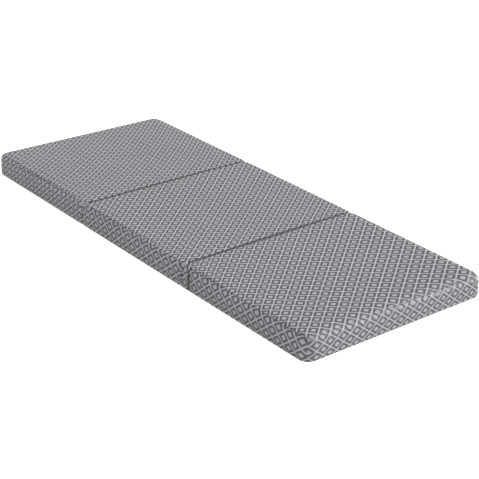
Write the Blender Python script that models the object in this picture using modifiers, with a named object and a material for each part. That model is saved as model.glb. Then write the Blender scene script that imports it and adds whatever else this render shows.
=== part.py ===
"""Trifold foam mattress that folds in a Z, with a zipped cover on each of its three panels.

Frame: metres, +Z up. The origin is on the underside of the middle panel, at its centre.
+X runs to the foot end, +Y to the long side with the zips.
"""

import math
from collections import namedtuple

import bmesh
import bpy
from mathutils import Matrix, Vector

# Mattress, in metres
MATTRESS_LENGTH = 1.90
MATTRESS_WIDTH = 0.79
MATTRESS_THICKNESS = 0.085
MIDDLE_PANEL_LENGTH = 0.62
PANEL_GAP = 0.0008

# Rounded edges of a panel, and its upright corners, which are tighter at the folds
TOP_EDGE_RADIUS = 0.028
BASE_EDGE_RADIUS = 0.014
FOLD_TOP_RADIUS = 0.010
FOLD_BASE_RADIUS = 0.008
CORNER_RADIUS = 0.048
FOLD_CORNER_TOP_RADIUS = 0.034
FOLD_CORNER_BASE_RADIUS = 0.012
TIGHTEST_CORNER = 0.006

# Crown of the top and bulge of the free sides
CROWN_HEIGHT = 0.002
CROWN_WIDTH = 0.090
SIDE_BULGE = 0.0015

# Layers, from the outside in
FIT_GAP = 0.0003
COVER_THICKNESS = 0.0015
LINER_THICKNESS = 0.0006
COMFORT_FOAM_THICKNESS = 0.038

# Where the sewn seams lie on the rounded edges, as shares of the quarter round
TOP_SEAM_SHARE = 0.5
BASE_SEAM_SHARE = 0.5
SEAM_TURN_SHARE = 0.04

# Zip in the wall at +Y
ZIP_END_MARGIN = 0.012
ZIP_SLOT_HEIGHT = 0.009
ZIP_TAPE_SETBACK = 0.0004
ZIP_TAPE_THICKNESS = 0.0006
ZIP_TAPE_PART = 0.0008
ZIP_TAPE_HIDDEN = 0.004
ZIP_CHAIN_HEIGHT = 0.0044
ZIP_CHAIN_THICKNESS = 0.0016
ZIP_STOP_LENGTH = 0.003
ZIP_STOP_OVERHANG = 0.0005

# Zip slider, and the pull that swings on its pin
SLIDER_LENGTH = 0.010
SLIDER_WALL = 0.0010
SLIDER_FLANGE = 0.0008
EAR_LENGTH = 0.0024
EAR_WIDTH = 0.0008
EAR_CAP = 0.0004
PIN_RADIUS = 0.00055
PULL_WALL = 0.00055
PULL_KNUCKLE_WIDTH = 0.0026
PULL_NECK_LENGTH = 0.0012
PULL_LENGTH = 0.024
PULL_WIDTH = 0.0064
PULL_THICKNESS = 0.0010

# Cloth hinge in the groove between two panels
STRIP_THICKNESS = 0.0008
STRIP_RISE = 0.002

# A cutter reaches this far past what it cuts
CUT_OVERRUN = 0.002

# Where a panel's outlines lie, as shares of a quarter round, of the upright side and of the crown
COVER_TOP_ROUND_SHARES = (0.75, 1.0)
COVER_CROWN_SHARES = (0.5, 1.0)
BORDER_UPRIGHT_SHARES = (0.0, 0.25, 0.5, 0.75)
BORDER_TOP_ROUND_SHARES = (0.0, 0.25, TOP_SEAM_SHARE - SEAM_TURN_SHARE)
COVER_BASE_ROUND_SHARES = (0.0, 0.25, BASE_SEAM_SHARE - SEAM_TURN_SHARE)
LINER_BASE_ROUND_SHARES = (0.0, 0.5)
LINER_UPRIGHT_SHARES = (0.0, 0.25, 0.75)
INNER_ROUND_SHARES = (0.0, 0.5, 1.0)

# How finely the round shapes are divided, and the sharpest turn that is shaded smooth
CORNER_STEPS = 5
ROUND_SIDES = 16
SMOOTH_TURN = math.radians(40)

HALF_WIDTH = MATTRESS_WIDTH / 2
HALF_LENGTH = MATTRESS_LENGTH / 2
MIDDLE_HALF = MIDDLE_PANEL_LENGTH / 2
FOOT_FOLD_X = MIDDLE_HALF + PANEL_GAP / 2
HEAD_FOLD_X = -FOOT_FOLD_X
SHOULDER_HEIGHT = MATTRESS_THICKNESS - CROWN_HEIGHT
QUARTER_TURN = math.pi / 2

# A side of a panel: its edge radii, how far it bulges, and the radius of its corners at base and top
Side = namedtuple("Side", "top_radius base_radius bulge base_corner top_corner")
# A panel: its ends along X, and what kind of side it has there
Panel = namedtuple("Panel", "name x_low x_high low_side high_side")
# How far a piece lies inside the outer face of the cover
Skin = namedtuple("Skin", "side top base")
# One place on a side's section: how far in and how high it is, and how high the cover is there
Place = namedtuple("Place", "inset height cover_height")

FREE_SIDE = Side(TOP_EDGE_RADIUS, BASE_EDGE_RADIUS, SIDE_BULGE, CORNER_RADIUS, CORNER_RADIUS)
FOLD_SIDE = Side(FOLD_TOP_RADIUS, FOLD_BASE_RADIUS, 0.0, FOLD_CORNER_BASE_RADIUS, FOLD_CORNER_TOP_RADIUS)

PANELS = (
    Panel("head", -HALF_LENGTH, -MIDDLE_HALF - PANEL_GAP, FREE_SIDE, FOLD_SIDE),
    Panel("middle", -MIDDLE_HALF, MIDDLE_HALF, FOLD_SIDE, FOLD_SIDE),
    Panel("foot", MIDDLE_HALF + PANEL_GAP, HALF_LENGTH, FOLD_SIDE, FREE_SIDE),
)

# Depths of the zip's layers below the outer face of the wall
TAPE_FACE_DEPTH = COVER_THICKNESS + FIT_GAP + ZIP_TAPE_SETBACK
CHAIN_BACK_DEPTH = TAPE_FACE_DEPTH - FIT_GAP
CHAIN_FACE_DEPTH = CHAIN_BACK_DEPTH - ZIP_CHAIN_THICKNESS
LINER_SIDE_DEPTH = TAPE_FACE_DEPTH + ZIP_TAPE_THICKNESS + FIT_GAP
LINER_FACE_DEPTH = COVER_THICKNESS + FIT_GAP
FOAM_SIDE_DEPTH = LINER_SIDE_DEPTH + LINER_THICKNESS + FIT_GAP
FOAM_FACE_DEPTH = LINER_FACE_DEPTH + LINER_THICKNESS + FIT_GAP

COVER_SKIN = Skin(0.0, 0.0, 0.0)
LINER_SKIN = Skin(LINER_SIDE_DEPTH, LINER_FACE_DEPTH, LINER_FACE_DEPTH)
FOAM_SKIN = Skin(FOAM_SIDE_DEPTH, FOAM_FACE_DEPTH, FOAM_FACE_DEPTH)

COMFORT_FOAM_BASE = MATTRESS_THICKNESS - FOAM_FACE_DEPTH - COMFORT_FOAM_THICKNESS
ZIP_CENTRE_HEIGHT = (BASE_EDGE_RADIUS + SHOULDER_HEIGHT - TOP_EDGE_RADIUS) / 2


# Scene

def clear_scene():
    for old in list(bpy.data.objects):
        bpy.data.objects.remove(old, do_unlink=True)


def new_collection(name):
    collection = bpy.data.collections.new(name)
    bpy.context.scene.collection.children.link(collection)
    return collection


def new_material(name, colour, roughness, metallic=0.0):
    material = bpy.data.materials.new(name)
    material.use_nodes = True
    shader = material.node_tree.nodes["Principled BSDF"]
    shader.inputs["Base Color"].default_value = (*colour, 1.0)
    shader.inputs["Roughness"].default_value = roughness
    shader.inputs["Metallic"].default_value = metallic
    material.diffuse_color = (*colour, 1.0)
    return material


def new_joint(name, place, parent=None):
    """An empty on a joint's axis, which carries the pieces that move on it."""
    joint = bpy.data.objects.new(name, None)
    mattress.objects.link(joint)
    joint.parent = parent
    joint.location = place - (world_place(parent) if parent else Vector())
    return joint


def world_place(thing):
    """World position of an object whose parents only shift it."""
    place = thing.location.copy()
    while thing.parent:
        thing = thing.parent
        place += thing.location
    return place


def add_piece(name, mesh, material, carrier=None):
    """A piece whose mesh is in world coordinates, with its origin at its carrier's."""
    if carrier:
        mesh.transform(Matrix.Translation(-world_place(carrier)))
    piece = bpy.data.objects.new(name, mesh)
    mesh.materials.clear()
    mesh.materials.append(material)
    mattress.objects.link(piece)
    piece.parent = carrier
    return piece


def finished_mesh(piece):
    """The mesh of a piece with its modifiers applied."""
    view = bpy.context.evaluated_depsgraph_get()
    return bpy.data.meshes.new_from_object(piece.evaluated_get(view))


# Basic shapes

def box_mesh(name, low, high):
    """A box between two corners."""
    low = Vector(low)
    high = Vector(high)
    size = high - low
    shape = bmesh.new()
    place = Matrix.Translation((low + high) / 2) @ Matrix.Diagonal((*size, 1.0))
    bmesh.ops.create_cube(shape, size=1.0, matrix=place)
    return bmesh_to_mesh(shape, name)


def upright_rod_mesh(name, radius, length):
    """A round rod along Z, centred on the origin."""
    shape = bmesh.new()
    bmesh.ops.create_cone(shape, cap_ends=True, segments=ROUND_SIDES,
                          radius1=radius, radius2=radius, depth=length)
    mesh = bmesh_to_mesh(shape, name)
    mesh.shade_smooth()
    mesh.set_sharp_from_angle(angle=SMOOTH_TURN)
    return mesh


def bmesh_to_mesh(shape, name):
    bmesh.ops.recalc_face_normals(shape, faces=shape.faces[:])
    mesh = bpy.data.meshes.new(name)
    shape.to_mesh(mesh)
    shape.free()
    return mesh


def add_tool(name, mesh):
    """A shape that only cuts or adds to another, kept out of the object."""
    tool = bpy.data.objects.new(name, mesh)
    cutters.objects.link(tool)
    tool.hide_render = True
    tool.display_type = "WIRE"
    return tool


def cut_or_join(piece, tool, operation):
    step = piece.modifiers.new(tool.name, "BOOLEAN")
    step.object = tool
    step.operation = operation
    step.solver = "EXACT"


def combined_mesh(name, start, steps):
    """One closed mesh made from a start mesh and a list of (operation, mesh) steps."""
    body = add_tool(name, start)
    tools = []
    for operation, mesh in steps:
        tool = add_tool(mesh.name, mesh)
        cut_or_join(body, tool, operation)
        tools.append(tool)
    result = finished_mesh(body)
    result.name = name
    for spare in [body, *tools]:
        bpy.data.objects.remove(spare, do_unlink=True)
    return result


# Sections of a panel's sides, from the flat underside up and over to the flat top

def base_round(share, skin):
    """A place on the lower rounded edge, from the flat underside to the upright side."""
    angle = share * QUARTER_TURN

    def place(side):
        inset = side.bulge + side.base_radius - (side.base_radius - skin.side) * math.sin(angle)
        height = side.base_radius - (side.base_radius - skin.base) * math.cos(angle)
        return Place(inset, height, side.base_radius * (1 - math.cos(angle)))
    return place


def upright(share, skin):
    """A place on the upright side, which bulges half way up."""
    def place(side):
        low = side.base_radius
        high = SHOULDER_HEIGHT - side.top_radius
        inset = skin.side + side.bulge * (1 - math.sin(math.pi * share))
        height = low + (high - low) * share
        return Place(inset, height, height)
    return place


def upright_at(height, skin):
    """The place on the upright side at one height."""
    def place(side):
        low = side.base_radius
        high = SHOULDER_HEIGHT - side.top_radius
        return upright((height - low) / (high - low), skin)(side)
    return place


def top_round(share, skin):
    """A place on the upper rounded edge, from the upright side to the top."""
    angle = share * QUARTER_TURN

    def place(side):
        centre = SHOULDER_HEIGHT - side.top_radius
        inset = side.bulge + side.top_radius - (side.top_radius - skin.side) * math.cos(angle)
        height = centre + (side.top_radius - skin.top) * math.sin(angle)
        return Place(inset, height, centre + side.top_radius * math.sin(angle))
    return place


def crown(share, skin):
    """A place on the crown, from the rounded edge to the flat middle of the top."""
    def place(side):
        inset = side.bulge + side.top_radius + CROWN_WIDTH * share
        cover_height = MATTRESS_THICKNESS - CROWN_HEIGHT * (1 - share) ** 2
        return Place(inset, cover_height - skin.top, cover_height)
    return place


def seam_shift(share, gap, radius_of, seam_round, skin):
    """A quarter round's place next to a seam, half the fit gap away from the seam line."""
    def place(side):
        shift = gap / 2 / (radius_of(side) * QUARTER_TURN)
        return seam_round(share + shift, skin)(side)
    return place


def top_seam(gap):
    """The top seam line, shifted up by half of a gap, or down if the gap is negative."""
    return seam_shift(TOP_SEAM_SHARE, gap, lambda side: side.top_radius, top_round, COVER_SKIN)


def base_seam(gap):
    """The base seam line, shifted out and up by half of a gap, or down if the gap is negative."""
    return seam_shift(BASE_SEAM_SHARE, gap, lambda side: side.base_radius, base_round, COVER_SKIN)


# Panel pieces

def corner_radius(side, cover_height):
    """The radius of a side's upright corners at one height of the cover."""
    share = cover_height / MATTRESS_THICKNESS
    return side.base_corner + (side.top_corner - side.base_corner) * share


def corner_point(panel, place, quarter, angle):
    """A point on one of a panel's four corners, at an angle anticlockwise from +X."""
    x_sign = 1 if quarter in (0, 3) else -1
    y_sign = 1 if quarter < 2 else -1
    side, x_edge = (panel.high_side, panel.x_high) if x_sign > 0 else (panel.low_side, panel.x_low)
    end = place(side)
    long = place(FREE_SIDE)
    to_long_side = math.sin(angle) ** 2
    height = end.height + (long.height - end.height) * to_long_side
    cover_height = end.cover_height + (long.cover_height - end.cover_height) * to_long_side
    corner = corner_radius(side, cover_height)
    x_radius = max(corner - end.inset, TIGHTEST_CORNER)
    y_radius = max(corner - long.inset, TIGHTEST_CORNER)
    x_inset = end.inset + x_radius * (1 - abs(math.cos(angle)))
    y_inset = long.inset + y_radius * (1 - abs(math.sin(angle)))
    return Vector((x_edge - x_sign * x_inset, y_sign * (HALF_WIDTH - y_inset), height))


def outline(panel, place):
    """The rounded outline of a panel at one place of its section, anticlockwise from +X."""
    points = []
    for quarter in range(4):
        for step in range(CORNER_STEPS + 1):
            angle = (quarter + step / CORNER_STEPS) * QUARTER_TURN
            points.append(corner_point(panel, place, quarter, angle))
    return points


def loft_mesh(name, panel, places, base_cap=False, top_cap=False, open_strip=None):
    """A skin through a panel's outlines, from the lowest place to the highest.

    An open strip is a pair of places between which the straight wall at +Y is left out.
    """
    shape = bmesh.new()
    rows = [[shape.verts.new(point) for point in outline(panel, place)] for place in places]
    count = len(rows[0])
    straight_wall = CORNER_STEPS
    for row_number, (low, high) in enumerate(zip(rows, rows[1:])):
        for step in range(count):
            following = (step + 1) % count
            if row_number == open_strip and step == straight_wall:
                continue
            shape.faces.new((low[step], low[following], high[following], high[step]))
    if base_cap:
        shape.faces.new(tuple(reversed(rows[0])))
    if top_cap:
        shape.faces.new(tuple(rows[-1]))
    mesh = bpy.data.meshes.new(name)
    shape.to_mesh(mesh)
    shape.free()
    return mesh


def make_skin(piece, thickness):
    """Gives an open surface its thickness, inwards."""
    step = piece.modifiers.new("cloth thickness", "SOLIDIFY")
    step.thickness = thickness
    step.offset = -1.0
    step.use_even_offset = True
    step.use_quality_normals = True


def cover_top(panel, carrier):
    places = [top_seam(FIT_GAP)]
    places += [top_round(TOP_SEAM_SHARE + SEAM_TURN_SHARE, COVER_SKIN)]
    places += [top_round(share, COVER_SKIN) for share in COVER_TOP_ROUND_SHARES]
    places += [crown(share, COVER_SKIN) for share in COVER_CROWN_SHARES]
    name = panel.name + "_cover_top"
    piece = add_piece(name, loft_mesh(name, panel, places, top_cap=True), knit_top, carrier)
    make_skin(piece, COVER_THICKNESS)


def cover_border(panel, carrier):
    places = [base_seam(FIT_GAP)]
    places += [base_round(BASE_SEAM_SHARE + SEAM_TURN_SHARE, COVER_SKIN)]
    places += [upright(share, COVER_SKIN) for share in BORDER_UPRIGHT_SHARES]
    places += [top_round(share, COVER_SKIN) for share in BORDER_TOP_ROUND_SHARES]
    places += [top_seam(-FIT_GAP)]
    name = panel.name + "_cover_border"
    piece = add_piece(name, loft_mesh(name, panel, places), knit_border, carrier)
    make_skin(piece, COVER_THICKNESS)
    slot_low, slot_high = zip_slot_ends(panel)
    slot = add_tool(panel.name + "_zip_slot", box_mesh(
        panel.name + "_zip_slot",
        (slot_low, HALF_WIDTH - COVER_THICKNESS - CUT_OVERRUN, ZIP_CENTRE_HEIGHT - ZIP_SLOT_HEIGHT / 2),
        (slot_high, HALF_WIDTH + CUT_OVERRUN, ZIP_CENTRE_HEIGHT + ZIP_SLOT_HEIGHT / 2)))
    cut_or_join(piece, slot, "DIFFERENCE")


def cover_base(panel, carrier):
    places = [base_round(share, COVER_SKIN) for share in COVER_BASE_ROUND_SHARES]
    places += [base_seam(-FIT_GAP)]
    name = panel.name + "_cover_base"
    piece = add_piece(name, loft_mesh(name, panel, places, base_cap=True), base_cloth, carrier)
    make_skin(piece, COVER_THICKNESS)


def inner_liner(panel, carrier):
    """A thin sock round both foams, open along a slit behind the zip."""
    places = [base_round(share, LINER_SKIN) for share in LINER_BASE_ROUND_SHARES]
    places += [upright(share, LINER_SKIN) for share in LINER_UPRIGHT_SHARES]
    slit_row = len(places) - 2
    places += [top_round(share, LINER_SKIN) for share in INNER_ROUND_SHARES]
    places += [crown(1.0, LINER_SKIN)]
    name = panel.name + "_inner_liner"
    mesh = loft_mesh(name, panel, places, base_cap=True, top_cap=True, open_strip=slit_row)
    piece = add_piece(name, mesh, liner_knit, carrier)
    make_skin(piece, LINER_THICKNESS)


def support_foam(panel, carrier):
    places = [base_round(share, FOAM_SKIN) for share in INNER_ROUND_SHARES]
    places += [upright_at(COMFORT_FOAM_BASE - FIT_GAP, FOAM_SKIN)]
    name = panel.name + "_support_foam"
    mesh = loft_mesh(name, panel, places, base_cap=True, top_cap=True)
    add_piece(name, mesh, firm_foam, carrier)


def comfort_foam(panel, carrier):
    places = [upright_at(COMFORT_FOAM_BASE, FOAM_SKIN)]
    places += [top_round(share, FOAM_SKIN) for share in INNER_ROUND_SHARES]
    places += [crown(1.0, FOAM_SKIN)]
    name = panel.name + "_comfort_foam"
    mesh = loft_mesh(name, panel, places, base_cap=True, top_cap=True)
    add_piece(name, mesh, soft_foam, carrier)


# Zip

def zip_slot_ends(panel):
    low = panel.x_low + CORNER_RADIUS + ZIP_END_MARGIN
    high = panel.x_high - CORNER_RADIUS - ZIP_END_MARGIN
    return low, high


def zip_tapes(panel, carrier):
    """The two tapes behind the slot, sewn to the border above and below it."""
    slot_low, slot_high = zip_slot_ends(panel)
    face = HALF_WIDTH - TAPE_FACE_DEPTH
    near = ZIP_TAPE_PART / 2
    far = ZIP_SLOT_HEIGHT / 2 + ZIP_TAPE_HIDDEN
    for name, bottom, top in (("upper", near, far), ("lower", -far, -near)):
        mesh = box_mesh(
            panel.name + "_zip_tape_" + name,
            (slot_low - ZIP_TAPE_HIDDEN, face - ZIP_TAPE_THICKNESS, ZIP_CENTRE_HEIGHT + bottom),
            (slot_high + ZIP_TAPE_HIDDEN, face, ZIP_CENTRE_HEIGHT + top))
        add_piece(mesh.name, mesh, tape_cloth, carrier)


def zip_chain_and_stops(panel, carrier):
    """The closed chain in front of the tapes, with a stop at each end."""
    slot_low, slot_high = zip_slot_ends(panel)
    back = HALF_WIDTH - CHAIN_BACK_DEPTH
    face = HALF_WIDTH - CHAIN_FACE_DEPTH
    chain_low = slot_low + ZIP_STOP_LENGTH + 2 * FIT_GAP
    chain_high = slot_high - ZIP_STOP_LENGTH - 2 * FIT_GAP
    half = ZIP_CHAIN_HEIGHT / 2
    chain = box_mesh(
        panel.name + "_zip_chain",
        (chain_low, back, ZIP_CENTRE_HEIGHT - half),
        (chain_high, face, ZIP_CENTRE_HEIGHT + half))
    add_piece(chain.name, chain, chain_nylon, carrier)
    stop_half = half + ZIP_STOP_OVERHANG
    for name, start in (("head", slot_low + FIT_GAP), ("foot", chain_high + FIT_GAP)):
        stop = box_mesh(
            panel.name + "_zip_stop_" + name + "_end",
            (start, back, ZIP_CENTRE_HEIGHT - stop_half),
            (start + ZIP_STOP_LENGTH, face, ZIP_CENTRE_HEIGHT + stop_half))
        add_piece(stop.name, stop, zip_metal, carrier)


def slider_place(panel):
    """The slider's rest place, closed against the stop at the foot end."""
    slot_high = zip_slot_ends(panel)[1]
    x = slot_high - ZIP_STOP_LENGTH - 2 * FIT_GAP - SLIDER_LENGTH / 2
    return Vector((x, HALF_WIDTH - CHAIN_FACE_DEPTH + FIT_GAP, ZIP_CENTRE_HEIGHT))


def pin_place(panel):
    """The axis of the pull, in front of the slider's face."""
    knuckle_radius = PIN_RADIUS + FIT_GAP + PULL_WALL
    return slider_place(panel) + Vector((0, SLIDER_WALL + FIT_GAP + knuckle_radius, 0))


def slider_mesh():
    """The slider round the chain, with its two ears and the pin between them.

    Its origin is the middle of the face that looks at the chain.
    """
    half = SLIDER_LENGTH / 2
    channel_half = ZIP_CHAIN_HEIGHT / 2 + FIT_GAP
    body_half = channel_half + SLIDER_FLANGE
    channel_depth = ZIP_CHAIN_THICKNESS + FIT_GAP
    pin_y = SLIDER_WALL + FIT_GAP + PIN_RADIUS + FIT_GAP + PULL_WALL
    ear_low = PULL_KNUCKLE_WIDTH / 2 + FIT_GAP
    ear_high = ear_low + EAR_WIDTH
    body = box_mesh("slider_body", (-half, -channel_depth, -body_half), (half, SLIDER_WALL, body_half))
    channel = box_mesh(
        "slider_channel",
        (-half - CUT_OVERRUN, -channel_depth - CUT_OVERRUN, -channel_half),
        (half + CUT_OVERRUN, 0, channel_half))
    steps = [("DIFFERENCE", channel)]
    for sign, name in ((1, "upper"), (-1, "lower")):
        bottom, top = sorted((sign * ear_low, sign * ear_high))
        ear = box_mesh(
            "slider_ear_" + name,
            (-EAR_LENGTH / 2, SLIDER_WALL / 2, bottom),
            (EAR_LENGTH / 2, pin_y + PIN_RADIUS + EAR_CAP, top))
        steps.append(("UNION", ear))
    pin = upright_rod_mesh("slider_pin", PIN_RADIUS, 2 * ear_low + EAR_WIDTH)
    pin.transform(Matrix.Translation((0, pin_y, 0)))
    steps.append(("UNION", pin))
    return combined_mesh("zip_slider", body, steps)


def pull_mesh():
    """The pull, with its knuckle on the origin and its tab along -X."""
    knuckle_radius = PIN_RADIUS + FIT_GAP + PULL_WALL
    half_thickness = PULL_THICKNESS / 2
    tab_start = knuckle_radius + PULL_NECK_LENGTH
    knuckle = upright_rod_mesh("pull_knuckle", knuckle_radius, PULL_KNUCKLE_WIDTH)
    neck = box_mesh(
        "pull_neck",
        (-tab_start - half_thickness, -half_thickness, -PULL_KNUCKLE_WIDTH / 2 + FIT_GAP),
        (0, half_thickness, PULL_KNUCKLE_WIDTH / 2 - FIT_GAP))
    tab = box_mesh(
        "pull_tab",
        (-PULL_LENGTH, -half_thickness, -PULL_WIDTH / 2),
        (-tab_start, half_thickness, PULL_WIDTH / 2))
    eye = upright_rod_mesh("pull_eye", PIN_RADIUS + FIT_GAP, PULL_KNUCKLE_WIDTH + CUT_OVERRUN)
    return combined_mesh("zip_pull", knuckle, [("UNION", neck), ("UNION", tab), ("DIFFERENCE", eye)])


def slider_and_pull(panel, carrier, slider_shape, pull_shape):
    """The slider on its own joint, and the pull on a joint that the slider carries."""
    slide = new_joint(panel.name + "_slider_joint", slider_place(panel), carrier)
    swing = new_joint(panel.name + "_pull_joint", pin_place(panel), slide)
    for name, shape, joint in (("_zip_slider", slider_shape, slide), ("_zip_pull", pull_shape, swing)):
        piece = bpy.data.objects.new(panel.name + name, shape)
        mattress.objects.link(piece)
        piece.parent = joint


# Cloth hinges

def strip_half_width(radius):
    """Half the width of a strip that clears both rounded edges by the fit gap."""
    depth = STRIP_THICKNESS + 2 * FIT_GAP
    return PANEL_GAP / 2 + radius - math.sqrt(radius ** 2 - (radius - depth) ** 2)


def fold_strip(name, fold_x, edge_height, radius, up_sign):
    """A cloth strip in the groove of a seam, creased in the middle, towards up_sign * Z."""
    half = strip_half_width(radius)
    section = [(-half, 0), (0, STRIP_RISE), (half, 0)]
    section += [(x, z + STRIP_THICKNESS) for x, z in reversed(section)]
    curve = bpy.data.curves.new(name, "CURVE")
    curve.dimensions = "2D"
    curve.fill_mode = "BOTH"
    curve.extrude = HALF_WIDTH - CORNER_RADIUS
    line = curve.splines.new("POLY")
    line.points.add(len(section) - 1)
    for point, (x, z) in zip(line.points, section):
        point.co = (x, up_sign * z, 0, 1)
    line.use_cyclic_u = True
    curve.materials.append(strip_cloth)
    strip = bpy.data.objects.new(name, curve)
    strip.location = (fold_x, 0, edge_height)
    strip.rotation_euler.x = QUARTER_TURN
    mattress.objects.link(strip)


clear_scene()
mattress = new_collection("trifold_foam_mattress")
cutters = new_collection("cutters")

knit_top = new_material("knit_top", (0.27, 0.27, 0.28), 0.85)
knit_border = new_material("knit_border", (0.22, 0.22, 0.23), 0.85)
base_cloth = new_material("base_cloth", (0.10, 0.10, 0.11), 0.9)
liner_knit = new_material("liner_knit", (0.80, 0.80, 0.78), 0.9)
soft_foam = new_material("soft_foam", (0.78, 0.80, 0.84), 0.95)
firm_foam = new_material("firm_foam", (0.86, 0.85, 0.80), 0.95)
tape_cloth = new_material("tape_cloth", (0.16, 0.16, 0.17), 0.8)
chain_nylon = new_material("chain_nylon", (0.12, 0.12, 0.13), 0.45)
zip_metal = new_material("zip_metal", (0.35, 0.35, 0.36), 0.35, 0.9)
strip_cloth = new_material("strip_cloth", (0.12, 0.12, 0.13), 0.9)

head_joint = new_joint("head_fold_joint", Vector((HEAD_FOLD_X, 0, -FIT_GAP)))
foot_joint = new_joint("foot_fold_joint", Vector((FOOT_FOLD_X, 0, MATTRESS_THICKNESS + FIT_GAP)))
carriers = {"head": head_joint, "middle": None, "foot": foot_joint}

slider_shape = slider_mesh()
slider_shape.materials.append(zip_metal)
pull_shape = pull_mesh()
pull_shape.materials.append(zip_metal)

for panel in PANELS:
    carrier = carriers[panel.name]
    for make in (cover_top, cover_border, cover_base, inner_liner, comfort_foam, support_foam,
                 zip_tapes, zip_chain_and_stops):
        make(panel, carrier)
    slider_and_pull(panel, carrier, slider_shape, pull_shape)

fold_strip("head_fold_strip", HEAD_FOLD_X, FIT_GAP, FOLD_BASE_RADIUS, 1)
fold_strip("foot_fold_strip", FOOT_FOLD_X, SHOULDER_HEIGHT, FOLD_TOP_RADIUS, -1)
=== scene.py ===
"""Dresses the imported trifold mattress: knit covers, seams, zips, cloth hinges, liners and foams.

Frame: metres, +Z up, as packed. +X runs to the foot end, +Y to the long side with the zips.
"""

import math
from collections import namedtuple

import bmesh
import bpy
import numpy as np
from mathutils import Matrix, Vector


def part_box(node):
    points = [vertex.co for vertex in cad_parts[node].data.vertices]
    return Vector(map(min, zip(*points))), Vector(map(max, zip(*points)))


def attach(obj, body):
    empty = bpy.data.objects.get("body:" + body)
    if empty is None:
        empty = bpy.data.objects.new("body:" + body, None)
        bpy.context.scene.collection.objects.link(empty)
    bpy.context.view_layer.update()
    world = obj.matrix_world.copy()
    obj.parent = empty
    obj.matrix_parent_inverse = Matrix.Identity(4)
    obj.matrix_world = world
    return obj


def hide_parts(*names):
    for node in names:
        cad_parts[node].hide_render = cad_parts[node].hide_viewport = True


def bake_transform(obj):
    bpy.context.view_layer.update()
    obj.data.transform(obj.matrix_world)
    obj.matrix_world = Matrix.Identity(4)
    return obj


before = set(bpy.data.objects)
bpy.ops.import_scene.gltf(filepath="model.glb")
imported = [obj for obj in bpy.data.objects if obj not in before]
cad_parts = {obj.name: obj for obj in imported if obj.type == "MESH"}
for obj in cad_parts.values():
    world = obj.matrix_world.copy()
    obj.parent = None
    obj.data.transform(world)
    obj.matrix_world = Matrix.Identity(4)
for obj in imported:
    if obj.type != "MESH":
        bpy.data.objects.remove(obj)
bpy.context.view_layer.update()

# Mattress, as packed
HALF_WIDTH = 0.395
MATTRESS_THICKNESS = 0.085

# Rounded edges of a panel
TOP_EDGE_RADIUS = 0.028
NEAR_EDGE_RADIUS = 0.015
BASE_EDGE_RADIUS = 0.003
FOLD_TOP_RADIUS = 0.010
FOLD_CORNER_TOP_RADIUS = 0.034
CORNER_GROWTH = 3
SIDE_BULGE = 0.0005
CROWN_HEIGHT = 0.002
CROWN_WIDTH = 0.090

# Layers, from the outside in, as packed
COVER_THICKNESS = 0.0015
LINER_THICKNESS = 0.0006
COMFORT_FOAM_THICKNESS = 0.038
FIT_GAP = 0.0003

# How the covers are divided into faces: along their outlines, and up their section. The base seam lies half
# way round the lower rounded edge, and the top seam on one outline of the upper one.
GRID_PITCH = 0.010
CORNER_STEPS = 6
FOLD_LEAD_STEPS = 2
LONG_LEAD_STEPS = 3
LONG_MARGIN = 0.072
ZIP_SLOT_MARGIN = 0.060
SLOT_LOW_SHARE = 0.5192
UPRIGHT_SHARES = (0.25, SLOT_LOW_SHARE, 0.6923, 0.84)
SLOT_ROW = 4
TOP_SEAM_SHARE = 0.75
TOP_ROUND_SHARES = (0.0, 0.2, 0.4, 0.58, TOP_SEAM_SHARE, 0.88, 1.0)
BASE_ROUND_SHARES = (0.0, 0.12, 0.25, 0.38, 0.5)
BORDER_BASE_SHARES = (0.5, 0.75)
CROWN_SHARES = (0.09, 0.18, 0.272)
INNER_ROUND_SHARES = (0.0, 0.33, 0.67, 1.0)
SAME_POINT = 1e-6
COVER_SAME_POINT = 1e-5

# How the cloth is let out: its steps and mass, its pressure, stiffness and fullness, and how far it may move
CLOTH_QUALITY = 6
CLOTH_MASS = 0.25
CLOTH_PRESSURE = 1.0
CLOTH_STIFFNESS = 60.0
CLOTH_BENDING = 0.5
CLOTH_FULLNESS = 0.004
CLOTH_FRAMES = 20
OUTWARD_MOVE = 0.0022
INWARD_MOVE = 0.0002
SLIDING_MOVE = 0.0008
TOP_RISE = 0.0002
SEAM_HOLD_HEIGHT = 1e-4
SLOT_HOLD_DEPTH = 0.005
SLOT_HOLD_LENGTH = 0.004
FOLD_CLEARANCE = 0.050
FOLD_HOLD_WIDTH = 0.0095

# Seams pressed into the foam, and how far up the walls at the folds the knit is painted dark as shade
SEAM_DEPTH = 0.0007
SIDE_SEAM_X = 0.044
SIDE_SEAM_HALF_WIDTH = 0.0046
SIDE_SEAM_DEPTH = {"middle": 0.001, "foot": 0.0035}
# Share of painted shade on the faces of each panel's upright side seam
SIDE_SEAM_PAINTED_SHADE = {"middle": 0.0, "foot": 1.0}
HEAD_PAINTED_SHADE_ROWS = 4
FOOT_PAINTED_SHADE_ROWS = 3

# Knit: where a side's lattice is counted from, and the bands of a diamond as shares of it
SIDE_MIDDLE = 0.0385
STITCHES_ACROSS = 36
LINE_SHARE = 0.07
CENTRE_SHARE = 0.2
EDGE_SOFTNESS_SHARE = 0.015
KNIT_LINE = (0.57, 0.565, 0.60, 1.0)
KNIT_CENTRE = (0.50, 0.495, 0.525, 1.0)
KNIT_RING = (0.108, 0.107, 0.114, 1.0)
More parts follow.
